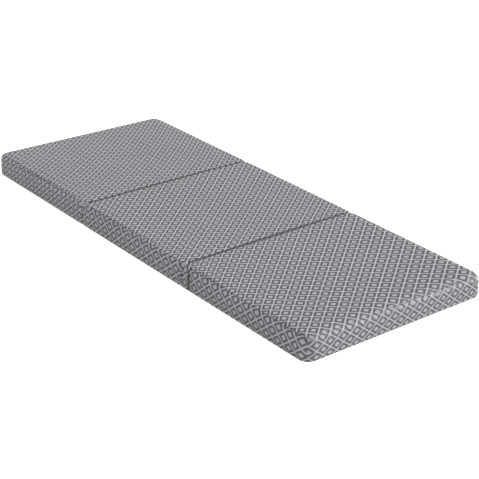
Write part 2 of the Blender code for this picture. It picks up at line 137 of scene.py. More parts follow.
# Painted shade: the near-black that the knit is mixed toward on the walls at the folds and in the foot's side
# seam (by WALL_SHADE), and on the hinge strips (by STRIP_SHADE)
KNIT_PAINTED_SHADE = (0.025, 0.0245, 0.026, 1.0)
WALL_SHADE = 0.8
STRIP_SHADE = 0.74
KNIT_BLEND = (0.29, 0.287, 0.303, 1.0)
SIDE_FADE = 0.15
STITCH_CONTRAST = 0.25
STITCH_RELIEF = 0.00025
KNIT_RELIEF = 0.0003
PLAIN_RELIEF = 0.00004
HEATHER_SCALE = 700.0
PATCH_SCALE = 5.0

# Sewing
STITCH_PITCH = 0.0045
STITCH_LENGTH = 0.0034
STITCH_RADIUS = 0.0003
STITCH_SETBACK = 0.0022

# Zip, as packed, and the nylon wire of its coils
ZIP_SLOT_HEIGHT = 0.009
ZIP_HEIGHT = 0.0345
ZIP_TAPE_SETBACK = 0.0004
ZIP_TAPE_THICKNESS = 0.0006
TAPE_ROUNDING = 0.00025
STOP_ROUNDING = 0.0004
METAL_ROUNDING = 0.0002
SLIDER_ROUNDING = 0.00025
KNUCKLE_ROUNDING = 0.0001
TAB_ROUNDING = 0.00022
COIL_WIRE = 0.00036
COIL_PITCH = 0.0016
COIL_OVERLAP = 0.0006
SLIDER_LENGTH = 0.010
SLIDER_WALL = 0.0010
SLIDER_FLANGE = 0.0008
SLIDER_DEPTH = 0.0019
SLIDER_HALF_HEIGHT = 0.0033
EAR_LENGTH = 0.0024
EAR_WIDTH = 0.0008
EAR_CAP = 0.0004
PIN_RADIUS = 0.00055
PULL_WALL = 0.00055
PULL_KNUCKLE_WIDTH = 0.0026
PULL_NECK_LENGTH = 0.0012
PULL_NECK_LAP = 0.001
PULL_NECK_HALF_WIDTH = 0.001
PULL_LENGTH = 0.024
PULL_WIDTH = 0.0064
PULL_THICKNESS = 0.0010
EYE_WALL = 0.0018
EYE_END = 0.0125

# Cloth hinges
STRIP_THICKNESS = 0.0008
STRIP_RISE = 0.0034
STRIP_STEPS = 10
STRIP_ROW = 0.006
STRIP_WAVE = 0.0001
STRIP_WAVE_RATE = 97
STRIP_SWAY_RATE = 31

# Grip dots on the underside
DOT_PITCH = 0.016
DOT_MARGIN = 0.030
DOT_RADIUS = 0.0022
DOT_HEIGHT = 0.00026
DOT_SIDES = 8
DOT_RINGS = 4

# Floor, light and camera
FLOOR_SIZE = 20.0
FLOOR_HEIGHT = -0.0004
FLOOR_TONE = 0.9
FLOOR_LIFT = 0.75
ROOM_LEVEL = 0.60
SUN_STRENGTH = 2.78
SUN_SOFTNESS = 12.0
FILL_STRENGTH = 0.37
FILL_AZIMUTH = -90.0
FILL_ELEVATION = 4.0
SUN_AZIMUTH = 65.0
SUN_ELEVATION = 22.6
CAMERA_AZIMUTH = -39.1331
CAMERA_ELEVATION = 24.9049
CAMERA_ROLL = 1.6162
CAMERA_LENS = 98.47
CAMERA_SENSOR = 36.0
CAMERA_DISTANCE = 4.7802
CAMERA_AIM = (0.1295, 0.0013, 0.0)

HALF_TURN = math.pi
QUARTER_TURN = math.pi / 2
SMOOTH_TURN = math.radians(40)
SHOULDER_HEIGHT = MATTRESS_THICKNESS - CROWN_HEIGHT
UPRIGHT_HEIGHT = SHOULDER_HEIGHT - TOP_EDGE_RADIUS - BASE_EDGE_RADIUS

# A side of a panel, with the share of its upper rounded edge where its top seam lies, and the shares
# between which the lattice of the border gives way to the lattice of the top
Side = namedtuple("Side", "top_radius base_radius bulge swell base_corner top_corner "
                          "seam wash_low wash_high crown_width")
# A panel, how far a piece lies inside the cover, and a place on a section
Panel = namedtuple("Panel", "name x_low x_high low_side high_side")
Skin = namedtuple("Skin", "side top base")
Place = namedtuple("Place", "inset height cover_height rise wash")
# How a knit lies on a face: its count of diamonds at the middle, what it gains for a metre along and
# across, and how it bows and twists from there
Lie = namedtuple("Lie", "start along across long_bow cross_bow twist", defaults=(0.0, 0.0, 0.0))
# What a point of an outline tells the lattices: how far the cloth has risen, how far the top's lattice has
# come in, whether that is gradual, as at the ends, and whether the face after it is of an end or a long side
Mark = namedtuple("Mark", "rise wash gradual facing")
# What a cover's mesh carries: two UV maps, four values on its points and one on its faces, its share of
# painted shade
Layers = namedtuple("Layers", "top side rise wash gradual shift dark")

FREE_SIDE = Side(top_radius=TOP_EDGE_RADIUS, base_radius=BASE_EDGE_RADIUS, bulge=SIDE_BULGE, swell=0.0,
                 base_corner=0.048, top_corner=0.048, seam=TOP_SEAM_SHARE, wash_low=0.65, wash_high=0.85,
                 crown_width=CROWN_WIDTH)
NEAR_CROWN_WIDTH = CROWN_WIDTH + (TOP_EDGE_RADIUS - NEAR_EDGE_RADIUS) / CROWN_SHARES[-1]
NEAR_SIDE = FREE_SIDE._replace(top_radius=NEAR_EDGE_RADIUS, wash_low=0.7, wash_high=0.8,
                               crown_width=NEAR_CROWN_WIDTH)
HEAD_END = FREE_SIDE._replace(swell=0.002, seam=0.6, wash_low=0.0, wash_high=1.0)
FOOT_END = HEAD_END._replace(swell=0.004, base_corner=0.038)
FOLD_SIDE = Side(top_radius=FOLD_TOP_RADIUS, base_radius=0.005, bulge=0.0, swell=0.0, base_corner=0.007,
                 top_corner=FOLD_CORNER_TOP_RADIUS, seam=TOP_SEAM_SHARE, wash_low=0.2, wash_high=0.4,
                 crown_width=CROWN_WIDTH)

TAPE_FACE_DEPTH = COVER_THICKNESS + FIT_GAP + ZIP_TAPE_SETBACK
LINER_SIDE_DEPTH = TAPE_FACE_DEPTH + ZIP_TAPE_THICKNESS + FIT_GAP
LINER_FACE_DEPTH = COVER_THICKNESS + FIT_GAP
FOAM_SIDE_DEPTH = LINER_SIDE_DEPTH + LINER_THICKNESS + FIT_GAP
FOAM_FACE_DEPTH = LINER_FACE_DEPTH + LINER_THICKNESS + FIT_GAP
COMFORT_FOAM_BASE = MATTRESS_THICKNESS - FOAM_FACE_DEPTH - COMFORT_FOAM_THICKNESS

COVER_SKIN = Skin(0.0, 0.0, 0.0)
LINER_SKIN = Skin(LINER_SIDE_DEPTH, LINER_FACE_DEPTH, LINER_FACE_DEPTH)
FOAM_SKIN = Skin(FOAM_SIDE_DEPTH, FOAM_FACE_DEPTH, FOAM_FACE_DEPTH)

# The lattice of each face, in diamonds along it and across it, or up it on a side
TOP_KNITS = {
    "head": (Lie(0.34, 23.3, -0.1, 1.3, 3.1), Lie(0.58, -0.93, 17.95, 0.0, 0.0, -0.9)),
    "middle": (Lie(0.42, 23.0, 0.5, 4.2, -0.9, 0.5), Lie(0.79, -1.0, 17.4, -0.9, 0.0, -0.4)),
    "foot": (Lie(0.31, 21.4, 0.3, 0.4, -1.2, -2.9), Lie(0.54, 0.3, 17.6, -1.5, -2.4, -2.4)),
}
SIDE_KNITS = {
    "head": (Lie(0.27, 17.2, 0.0), Lie(-0.17, -1.0, 21.7, 1.2)),
    "middle": (Lie(0.66, 17.2, 0.0), Lie(0.02, 0.0, 20.7, 1.6)),
    "foot": (Lie(0.53, 18.5, 0.0), Lie(0.24, 0.2, 21.4, 1.3)),
}
END_KNIT = (Lie(-0.1, 18.05, 0.0), Lie(0.2, 0.2, 24.3))


def packed(panel_name, part):
    """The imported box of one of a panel's parts, as its low and high corners."""
    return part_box(panel_name + "_" + part)


PANELS = []
for name, low_side, high_side in (("head", HEAD_END, FOLD_SIDE), ("middle", FOLD_SIDE, FOLD_SIDE),
                                  ("foot", FOLD_SIDE, FOOT_END)):
    low, high = packed(name, "cover_border")
    PANELS.append(Panel(name, low.x, high.x, low_side, high_side))


# Sections of a panel's sides, as places from the base seam up and over to the crown

def base_round(share, skin=COVER_SKIN):
    """A place on the lower rounded edge, from the flat underside to the upright side."""
    angle = share * QUARTER_TURN

    def place(side):
        radius = max(side.base_radius - skin.side, 0.0)
        inset = side.bulge + max(side.base_radius, skin.side) - radius * math.sin(angle)
        height = side.base_radius - (side.base_radius - skin.base) * math.cos(angle)
        cover_height = side.base_radius * (1 - math.cos(angle))
        return Place(inset, height, cover_height, cover_height, 0.0)
    return place


def upright(share, skin=COVER_SKIN):
    """A place on the upright side, which bulges half way up."""
    def place(side):
        low = side.base_radius
        high = SHOULDER_HEIGHT - side.top_radius
        inset = skin.side + side.bulge * (1 - math.sin(math.pi * share))
        height = low + (high - low) * share
        return Place(inset, height, height, height, 0.0)
    return place


def upright_at(height, skin):
    """The place on the upright side at one height."""
    def place(side):
        low = side.base_radius
        high = SHOULDER_HEIGHT - side.top_radius
        return upright((height - low) / (high - low), skin)(side)
    return place


def top_round(share, skin=COVER_SKIN):
    """A place on the upper rounded edge, from the upright side to the top.

    The share of the top seam falls on each side's own seam.
    """
    def place(side):
        if share < TOP_SEAM_SHARE:
            own_share = share / TOP_SEAM_SHARE * side.seam
        else:
            own_share = 1 - (1 - share) / (1 - TOP_SEAM_SHARE) * (1 - side.seam)
        angle = own_share * QUARTER_TURN
        centre = SHOULDER_HEIGHT - side.top_radius
        inset = side.bulge + side.top_radius - (side.top_radius - skin.side) * math.cos(angle)
        height = centre + (side.top_radius - skin.top) * math.sin(angle)
        cover_height = centre + side.top_radius * math.sin(angle)
        washed = min(max((own_share - side.wash_low) / (side.wash_high - side.wash_low), 0.0), 1.0)
        return Place(inset, height, cover_height, centre + side.top_radius * angle, washed)
    return place


def crown(share, skin=COVER_SKIN):
    """A place on the crown, from the rounded edge to the flat middle of the top."""
    def place(side):
        inset = side.bulge + side.top_radius + side.crown_width * share
        cover_height = MATTRESS_THICKNESS - CROWN_HEIGHT * (1 - share) ** 2
        rise = SHOULDER_HEIGHT + side.top_radius * (QUARTER_TURN - 1) + side.crown_width * share
        return Place(inset, cover_height - skin.top, cover_height, rise, 1.0)
    return place


def weighed(first, second, share):
    """The value that lies this share of the way from the first to the second."""
    return first + (second - first) * share


def corner_radius(side, cover_height):
    """The radius of a side's upright corners at one height of the cover."""
    share = (cover_height / MATTRESS_THICKNESS) ** CORNER_GROWTH
    return weighed(side.base_corner, side.top_corner, share)


def end_side(panel, quarter):
    return panel.high_side if quarter in (0, 3) else panel.low_side


def long_side(quarter, near_side=NEAR_SIDE):
    return FREE_SIDE if quarter < 2 else near_side


def corner_point(panel, place, quarter, angle, near_side):
    """A point on one of a panel's four corners, at an angle anticlockwise from +X."""
    x_sign = 1 if quarter in (0, 3) else -1
    y_sign = 1 if quarter < 2 else -1
    x_edge = panel.x_high if x_sign > 0 else panel.x_low
    side = end_side(panel, quarter)
    end = place(side)
    long = place(long_side(quarter, near_side))
    to_long_side = math.sin(angle) ** 2
    height = weighed(end.height, long.height, to_long_side)
    cover_height = weighed(end.cover_height, long.cover_height, to_long_side)
    corner = corner_radius(side, cover_height)
    x_radius = max(corner - end.inset, 0.0)
    y_radius = max(corner - long.inset, 0.0)
    x_inset = end.inset + x_radius * (1 - abs(math.cos(angle))) - side.swell
    y_inset = long.inset + y_radius * (1 - abs(math.sin(angle)))
    return Vector((x_edge - x_sign * x_inset, y_sign * (HALF_WIDTH - y_inset), height))


def between(start, end, count):
    """Evenly spaced values after start and before end, count - 1 of them."""
    return [start + (end - start) * step / count for step in range(1, count)]


def stations(panel, quarter):
    """Where the cross lines of a straight run lie, and how many steps lead to the first and from the last."""
    if quarter in (0, 2):
        low, high = slot_ends(panel)
        leads = [FOLD_LEAD_STEPS if side is FOLD_SIDE else 1 for side in (panel.low_side, panel.high_side)]
    else:
        high = HALF_WIDTH - LONG_MARGIN
        low = -high
        leads = [LONG_LEAD_STEPS, LONG_LEAD_STEPS]
    lines = [low, *between(low, high, round((high - low) / GRID_PITCH)), high]
    if quarter in (0, 2) and panel.low_side is FOLD_SIDE:
        seam = panel.x_low + SIDE_SEAM_X
        lines = [seam - SIDE_SEAM_HALF_WIDTH, seam, seam + SIDE_SEAM_HALF_WIDTH, seam + GRID_PITCH, *lines]
    return lines, leads


def run_points(panel, quarter, start, end):
    """Points on a straight run, between the last point of one corner and the first of the next."""
    axis = 0 if quarter in (0, 2) else 1
    lines, leads = stations(panel, quarter)
    if start[axis] > end[axis]:
        lines = lines[::-1]
        leads = leads[::-1]
    values = between(start[axis], lines[0], leads[0]) + lines + between(lines[-1], end[axis], leads[1])
    points = []
    for value in values:
        share = (value - start[axis]) / (end[axis] - start[axis])
        points.append(start.lerp(end, min(max(share, 0.0), 1.0)))
    return points


def corner_angles(quarter):
    return [(quarter + step / CORNER_STEPS) * QUARTER_TURN for step in range(CORNER_STEPS + 1)]


def outline(panel, place, near_side=NEAR_SIDE):
    """The rounded outline of a panel at one place of its section, anticlockwise from +X."""
    corners = []
    for quarter in range(4):
        angles = corner_angles(quarter)
        corners.append([corner_point(panel, place, quarter, angle, near_side) for angle in angles])
    points = []
    for quarter, corner in enumerate(corners):
        points += corner + run_points(panel, quarter, corner[-1], corners[(quarter + 1) % 4][0])
    return points


def outline_marks(panel, place):
    """A mark for each point of an outline."""
    marks = []
    for quarter in range(4):
        end = place(end_side(panel, quarter))
        long = place(long_side(quarter))
        facings = ("end", "long") if quarter in (0, 2) else ("long", "end")
        for step, angle in enumerate(corner_angles(quarter)):
            to_long_side = math.sin(angle) ** 2
            marks.append(Mark(weighed(end.rise, long.rise, to_long_side),
                              weighed(end.wash, long.wash, to_long_side),
                              1 - to_long_side, facings[step >= CORNER_STEPS / 2]))
        lines, leads = stations(panel, quarter)
        marks += [marks[-1]] * (len(lines) + sum(leads) - 2)
    return marks


# Covers

def panel_places():
    """The places of a cover's outlines from the base seam to the crown, and which one is the top seam."""
    places = [base_round(share) for share in BORDER_BASE_SHARES]
    places += [upright(share) for share in (0.0, *UPRIGHT_SHARES)]
    below = len(places)
    places += [top_round(share) for share in TOP_ROUND_SHARES]
    seam = below + TOP_ROUND_SHARES.index(TOP_SEAM_SHARE)
    places += [crown(share) for share in CROWN_SHARES]
    return places, seam


def crown_height(panel, x, y, inner):
    """Height of the top inside the innermost outline, rising smoothly to the flat middle."""
    x_low, x_high, y_high = inner
    reach = CROWN_WIDTH * (1 - CROWN_SHARES[-1])
    along = min(min(x - x_low, x_high - x) / reach, 1.0)
    across = min((y_high - abs(y)) / reach, 1.0)
    lack = 1 - (1 - (1 - along) ** 2) * (1 - (1 - across) ** 2)
    return MATTRESS_THICKNESS - CROWN_HEIGHT * (1 - CROWN_SHARES[-1]) ** 2 * lack


def cover_mesh(panel):
    """Top and border of a panel's cover as one skin, with both its lattices laid out in UV maps.

    Faces carry material 0 for the top and 1 for the border. The zip's slot is left open. The edge at -Y
    is as soft as the other, and the shift that makes it tighter is kept on the points for later.
    """
    places, seam_row = panel_places()
    shape = bmesh.new()
    layers = Layers(*[shape.loops.layers.uv.new(name) for name in ("top lattice", "side lattice")],
                    *[shape.verts.layers.float.new(name) for name in ("rise", "wash", "gradual")],
                    shape.verts.layers.float_vector.new("shift"), shape.faces.layers.float.new("dark"))
    rows = []
    for place in places:
        row = []
        marks = outline_marks(panel, place)
        for point, tight, mark in zip(outline(panel, place, FREE_SIDE), outline(panel, place), marks):
            vertex = shape.verts.new(point)
            vertex[layers.rise] = mark.rise
            vertex[layers.wash] = mark.wash
            vertex[layers.gradual] = mark.gradual
            vertex[layers.shift] = tight - point
            row.append(vertex)
        rows.append(row)
    round_start = len(places) - len(CROWN_SHARES) - len(TOP_ROUND_SHARES)
    for row, step, face in joined_rows(shape, rows, in_gap=slot_gap(panel, SLOT_ROW)):
        face.material_index = 0 if row >= seam_row else 1
        # Faces on the walls at the folds are marked for painted shade
        face[layers.dark] = float(in_painted_fold_shade(panel, face, row - round_start))
        lay_lattices(face, layers, panel, marks[step].facing)
    fill_top(shape, layers, panel, [vertex.co for vertex in rows[-1]])
    bmesh.ops.remove_doubles(shape, verts=shape.verts[:], dist=COVER_SAME_POINT)
    return mesh_of(shape)


def joined_rows(shape, rows, closed=True, in_gap=None):
    """Makes the faces from each row of points to the next, and tells each one's row and step."""
    for row, (low, high) in enumerate(zip(rows, rows[1:])):
        for step in range(len(low) if closed else len(low) - 1):
            following = (step + 1) % len(low)
            corners = (low[step], low[following], high[following], high[step])
            if in_gap and in_gap(row, corners):
                continue
            face = new_face(shape, corners)
            if face is not None:
                yield row, step, face


def in_painted_fold_shade(panel, face, round_row):
    """Whether a face lies on the part of a wall at a fold that is painted dark as shade, which ends on the
    rounded edge.
    """
    middle = face.calc_center_median()
    straight = HALF_WIDTH - FOLD_CORNER_TOP_RADIUS
    if abs(middle.y) > straight or fold_distance(panel, middle.x) > FOLD_TOP_RADIUS:
        return False
    return round_row < (HEAD_PAINTED_SHADE_ROWS if middle.x < 0 else FOOT_PAINTED_SHADE_ROWS)


def new_face(shape, corners):
    """A face through the corners that differ, or None where they all lie on a line."""
    kept = []
    for corner in corners:
        if all((corner.co - other.co).length > SAME_POINT for other in kept):
            kept.append(corner)
    return shape.faces.new(kept) if len(kept) > 2 else None


def slot_ends(panel):
    return panel.x_low + ZIP_SLOT_MARGIN, panel.x_high - ZIP_SLOT_MARGIN


def slot_gap(panel, slot_row):
    """What tells whether a face of a skin lies in the zip's slot, in the long side at +Y."""
    slot_low, slot_high = slot_ends(panel)

    def in_gap(row, corners):
        if row != slot_row or corners[0].co.y != corners[1].co.y:
            return False
        middle = sum((corner.co for corner in corners), Vector()) / 4
        return middle.y > 0 and slot_low < middle.x < slot_high
    return in_gap


def fill_top(shape, layers, panel, inner_points):
    """A grid of faces inside the innermost outline."""
    xs = sorted({round(point.x, 6) for point in inner_points})
    ys = sorted({round(point.y, 6) for point in inner_points})
    inner = (xs[0], xs[-1], ys[-1])
    grid = [[shape.verts.new((x, y, crown_height(panel, x, y, inner))) for x in xs] for y in ys]
    for vertex in sum(grid, []):
        vertex[layers.wash] = 1.0
    for _, _, face in joined_rows(shape, grid, closed=False):
        lay_lattices(face, layers, panel, "long")


def laid(lie, along, across):
    """How many diamonds lie between the start of a lattice and a place on its face."""
    straight = lie.start + lie.along * along + lie.across * across
    return straight + lie.long_bow * along ** 2 + lie.cross_bow * across ** 2 + lie.twist * along * across


def lay_lattices(face, layers, panel, facing):
    """Writes the face's corners into both UV maps, in diamonds of the lattice."""
    middle = (panel.x_low + panel.x_high) / 2
    side_knit = SIDE_KNITS[panel.name] if facing == "long" else END_KNIT
    for loop in face.loops:
        x, y, _ = loop.vert.co + loop.vert[layers.shift]
        x -= middle
        along = x if facing == "long" else y
        up = loop.vert[layers.rise] - SIDE_MIDDLE
        loop[layers.top].uv = [laid(lie, x, y) for lie in TOP_KNITS[panel.name]]
        loop[layers.side].uv = [laid(lie, along, up) for lie in side_knit]


def held_places(panel, mesh):
    """Which points of the cover are held: its base seam, the walls at the folds and the zip's slot."""
    slot_low, slot_high = slot_ends(panel)
    seam_height = min(vertex.co.z for vertex in mesh.vertices) + SEAM_HOLD_HEIGHT
    held = []
    for vertex in mesh.vertices:
        x, y, z = vertex.co
        by_fold = fold_distance(panel, x) < FOLD_HOLD_WIDTH
        by_slot = (y > HALF_WIDTH - SLOT_HOLD_DEPTH and abs(z - ZIP_HEIGHT) < ZIP_SLOT_HEIGHT
                   and slot_low - SLOT_HOLD_LENGTH < x < slot_high + SLOT_HOLD_LENGTH)
        if z < seam_height or by_fold or by_slot:
            held.append(vertex.index)
    return held


def fold_distance(panel, x):
    """How far a point is from the panel's nearest fold, along X."""
    distances = ((panel.low_side, x - panel.x_low), (panel.high_side, panel.x_high - x))
    return min(distance for side, distance in distances if side is FOLD_SIDE)


def let_out(panel, cover):
    """Lets the cover's cloth fill out under a little pressure, as foam pushes it, within its limits."""
    mesh = cover.data
    rest = vectors(mesh.vertices, "co")
    cover.vertex_groups.new(name="held").add(held_places(panel, mesh), 1.0, "REPLACE")
    step = cover.modifiers.new("cloth", "CLOTH")
    cloth = step.settings
    cloth.quality = CLOTH_QUALITY
    cloth.mass = CLOTH_MASS
    cloth.tension_stiffness = cloth.compression_stiffness = CLOTH_STIFFNESS
    cloth.shear_stiffness = CLOTH_STIFFNESS / 2
    cloth.bending_stiffness = CLOTH_BENDING
    cloth.shrink_min = -CLOTH_FULLNESS
    cloth.use_pressure = True
    cloth.uniform_pressure_force = CLOTH_PRESSURE
    cloth.effector_weights.gravity = 0.0
    cloth.vertex_group_mass = "held"
    step.collision_settings.use_collision = False
    step.point_cache.frame_end = CLOTH_FRAMES
    scene = bpy.context.scene
    for number in range(1, CLOTH_FRAMES + 1):
        scene.frame_set(number)
    settled = cover.evaluated_get(bpy.context.evaluated_depsgraph_get()).to_mesh()
    moved = vectors(settled.vertices, "co") - rest
    cover.modifiers.remove(step)
    scene.frame_set(1)
    normals = vectors(mesh.vertex_normals, "vector")
    outward = np.sum(moved * normals, axis=1, keepdims=True)
    sliding = moved - outward * normals
    outward = np.maximum(outward * OUTWARD_MOVE / (OUTWARD_MOVE + np.abs(outward)), -INWARD_MOVE)
    sliding *= SLIDING_MOVE / (SLIDING_MOVE + np.linalg.norm(sliding, axis=1, keepdims=True))
    moved = outward * normals + sliding
    from_fold = np.array([fold_distance(panel, x) for x in rest[:, 0]])
    moved *= np.clip(from_fold / FOLD_CLEARANCE, 0, 1)[:, None]
    placed = rest + moved
    placed[:, 2] = np.minimum(placed[:, 2], MATTRESS_THICKNESS + TOP_RISE)
    mesh.vertices.foreach_set("co", placed.ravel())
    mesh.update()
    cover.vertex_groups.clear()


def tighten_near_edge(mesh):
    """Moves the upper edge at -Y out to its tighter round."""
    for vertex, shift in zip(mesh.vertices, mesh.attributes["shift"].data):
        vertex.co += shift.vector
    mesh.attributes.remove(mesh.attributes["shift"])


def vectors(rows, name):
    """One vector of each of a mesh's rows, as an array."""
    values = np.zeros(len(rows) * 3)
    rows.foreach_get(name, values)
    return values.reshape(-1, 3)


def refined(thing):
    """The mesh of an object after one subdivision."""
    step = thing.modifiers.new("finer cloth", "SUBSURF")
    step.levels = 1
    step.render_levels = 1
    step.uv_smooth = "NONE"
    step.boundary_smooth = "PRESERVE_CORNERS"
    mesh = finished_mesh(thing)
    bpy.data.objects.remove(thing, do_unlink=True)
    return mesh


def press_seam(mesh):
    """Presses the line where top and border meet into the foam, as its stitches do."""
    shape = shape_of(mesh)
    shape.normal_update()
    on_seam = []
    for vertex in shape.verts:
        if len({face.material_index for face in vertex.link_faces}) > 1:
            on_seam.append((vertex, vertex.normal.copy()))
    for vertex, outward in on_seam:
        vertex.co -= outward * SEAM_DEPTH
    shape.to_mesh(mesh)
    shape.free()


def press_side_seams(mesh, panel):
    """Presses the upright seam, where the wall's cloth ends on the long sides, into the foam, and paints
    shade on its faces by each panel's share.
    """
    if panel.low_side is not FOLD_SIDE:
        return
    seam = panel.x_low + SIDE_SEAM_X
    dark = mesh.attributes["dark"].data
    pressed = set()
    for face in mesh.polygons:
        x, y, _ = face.center
        on_side = face.material_index == 1 and abs(y) > HALF_WIDTH - TOP_EDGE_RADIUS
        if on_side and abs(x - seam) < SIDE_SEAM_HALF_WIDTH:
            # Painted shade in the pressed side seam: full on the foot panel, none on the middle one
            dark[face.index].value = SIDE_SEAM_PAINTED_SHADE[panel.name]
            pressed.update(face.vertices)
    for index in pressed:
        vertex = mesh.vertices[index]
        near = max(1 - abs(vertex.co.x - seam) / SIDE_SEAM_HALF_WIDTH, 0.0)
        vertex.co.y -= math.copysign(SIDE_SEAM_DEPTH[panel.name] * near, vertex.co.y)


def taken_faces(mesh, number):
    """A copy of a mesh with only the faces that carry one material number."""
    shape = shape_of(mesh)
    others = [face for face in shape.faces if face.material_index != number]
    bmesh.ops.delete(shape, geom=others, context="FACES")
    for face in shape.faces:
        face.material_index = 0
        face.smooth = True
    return mesh_of(shape)


def top_cut(panel):
    """Width and length of the flat cloth of a cover's top, from seam to seam."""
    cut = []
    for extent, sides in ((2 * HALF_WIDTH, (FREE_SIDE, NEAR_SIDE)),
                          (panel.x_high - panel.x_low, (panel.low_side, panel.high_side))):
        for side in sides:
            extent += side.top_radius * (QUARTER_TURN * (1 - side.seam) - 1) - side.bulge
        cut.append(extent)
    return cut


def make_covers(panel):
    """The three pieces of a panel's cover."""
    length = panel.x_high - panel.x_low
    around = 2 * (2 * HALF_WIDTH + length)
    cover = new_thing("whole_cover", cover_mesh(panel))
    let_out(panel, cover)
    tighten_near_edge(cover.data)
    mesh = refined(cover)
    press_seam(mesh)
    press_side_seams(mesh, panel)
    base = loft_mesh(panel, [base_round(share) for share in BASE_ROUND_SHARES], top_cap=False)
    for part, piece_mesh, material, cut in (
            ("cover_top", taken_faces(mesh, 0), knit_top, top_cut(panel)),
            ("cover_border", taken_faces(mesh, 1), knit_border, (MATTRESS_THICKNESS, around)),
            ("cover_base", base, base_cloth, (2 * HALF_WIDTH, length))):
        piece = new_piece(panel, part, piece_mesh, material)
        make_thick(piece, COVER_THICKNESS)
    bpy.data.meshes.remove(mesh)


def loft_mesh(panel, places, top_cap=True, slot_row=None):
    """A smooth skin through a panel's outlines, from the lowest place to the highest, closed below."""
    shape = bmesh.new()
    rows = [[shape.verts.new(point) for point in outline(panel, place)] for place in places]
    list(joined_rows(shape, rows, in_gap=slot_gap(panel, slot_row)))
    shape.faces.new(tuple(reversed(rows[0])))
    if top_cap:
        shape.faces.new(tuple(rows[-1]))
    bmesh.ops.remove_doubles(shape, verts=shape.verts[:], dist=SAME_POINT)
    for face in shape.faces:
        face.smooth = True
    return mesh_of(shape)


# Liners and foams

def make_liner(panel):
    """A thin sock round both foams, open along a slit behind the zip."""
    places = [base_round(share, LINER_SKIN) for share in INNER_ROUND_SHARES[:-1]]
    places += [upright(share, LINER_SKIN) for share in (0.0, *UPRIGHT_SHARES)]
    places += [top_round(share, LINER_SKIN) for share in INNER_ROUND_SHARES]
    places += [crown(1.0, LINER_SKIN)]
    slot_row = len(INNER_ROUND_SHARES) + UPRIGHT_SHARES.index(SLOT_LOW_SHARE)
    liner = new_piece(panel, "inner_liner", loft_mesh(panel, places, slot_row=slot_row), liner_knit)
    make_thick(liner, LINER_THICKNESS)


def make_foams(panel):
    """The firm block below and the soft block above it, each with its own rounded edges."""
    below = [base_round(share, FOAM_SKIN) for share in INNER_ROUND_SHARES]
    below += [upright_at(COMFORT_FOAM_BASE - FIT_GAP, FOAM_SKIN)]
    above = [upright_at(COMFORT_FOAM_BASE, FOAM_SKIN)]
    above += [top_round(share, FOAM_SKIN) for share in INNER_ROUND_SHARES]
    above += [crown(1.0, FOAM_SKIN)]
    for part, places, material in (("support_foam", below, firm_foam), ("comfort_foam", above, soft_foam)):
        new_piece(panel, part, loft_mesh(panel, places), material)


# Small shapes

def new_thing(name, mesh):
    thing = bpy.data.objects.new(name, mesh)
    bpy.context.scene.collection.objects.link(thing)
    return thing


def new_piece(panel, part, mesh, material, body="panel"):
    """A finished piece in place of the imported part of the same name, on one of its panel's bodies."""
    name = panel.name + "_" + part
    piece = new_thing(name + "_form", mesh)
    mesh.materials.clear()
    mesh.materials.append(material)
    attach(piece, panel.name + "_" + body)
    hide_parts(name)
    return piece


def make_thick(piece, thickness):
    """Gives an open surface its thickness, inwards."""
    step = piece.modifiers.new("cloth thickness", "SOLIDIFY")
    step.thickness = thickness
    step.offset = -1.0
    step.use_even_offset = True
    step.use_quality_normals = True


def finished_mesh(thing):
    """The mesh of an object with its modifiers applied."""
    view = bpy.context.evaluated_depsgraph_get()
    return bpy.data.meshes.new_from_object(thing.evaluated_get(view))


def shape_of(*meshes):
    """A shape to work on, with what some meshes hold."""
    shape = bmesh.new()
    for mesh in meshes:
        shape.from_mesh(mesh)
    return shape


def mesh_of(shape):
    """A new mesh with what a shape holds, once it is worked out."""
    mesh = bpy.data.meshes.new("mesh")
    shape.to_mesh(mesh)
    shape.free()
    return mesh


def soft_box_mesh(low, high, rounding, steps=2):
    """A box between two corners, with rounded edges."""
    low, high = Vector(low), Vector(high)
    shape = bmesh.new()
    place = Matrix.Translation((low + high) / 2) @ Matrix.Diagonal((*(high - low), 1.0))
    bmesh.ops.create_cube(shape, size=1.0, matrix=place)
    bmesh.ops.bevel(shape, geom=shape.edges[:], offset=rounding, segments=steps, profile=0.5, affect="EDGES")
    return smooth_mesh(shape)


def rod_mesh(radius, length, place):
    """An upright round rod about a place."""
    shape = bmesh.new()
    bmesh.ops.create_cone(shape, cap_ends=True, segments=16, radius1=radius, radius2=radius, depth=length)
    mesh = smooth_mesh(shape)
    mesh.transform(Matrix.Translation(place))
    return mesh


def smooth_mesh(shape):
    bmesh.ops.recalc_face_normals(shape, faces=shape.faces[:])
    mesh = mesh_of(shape)
    mesh.shade_smooth()
    mesh.set_sharp_from_angle(angle=SMOOTH_TURN)
    return mesh


def plate_mesh(outlines, thickness, rounding):
    """A flat plate in XZ, centred on Y 0, from a list of outlines; a second outline is a hole."""
    curve = bpy.data.curves.new("plate", "CURVE")
    curve.dimensions = "2D"
    curve.fill_mode = "BOTH"
    curve.extrude = thickness / 2 - rounding
    curve.bevel_depth = rounding
    curve.bevel_resolution = 2
    curve.offset = -rounding
    for points in outlines:
        line = curve.splines.new("POLY")
        line.points.add(len(points) - 1)
        for point, (x, z) in zip(line.points, points):
            point.co = (x, z, 0, 1)
        line.use_cyclic_u = True
    thing = new_thing("plate", curve)
    mesh = finished_mesh(thing)
    bpy.data.objects.remove(thing, do_unlink=True)
    mesh.transform(Matrix.Rotation(QUARTER_TURN, 4, "X"))
    return mesh


def arc(centre_x, radius, start, sweep, sides):
    """Points on an arc in a plane, its centre on the first axis, from one angle on."""
    angles = [start + sweep * step / sides for step in range(sides + 1)]
    return [(centre_x + radius * math.cos(angle), radius * math.sin(angle)) for angle in angles]


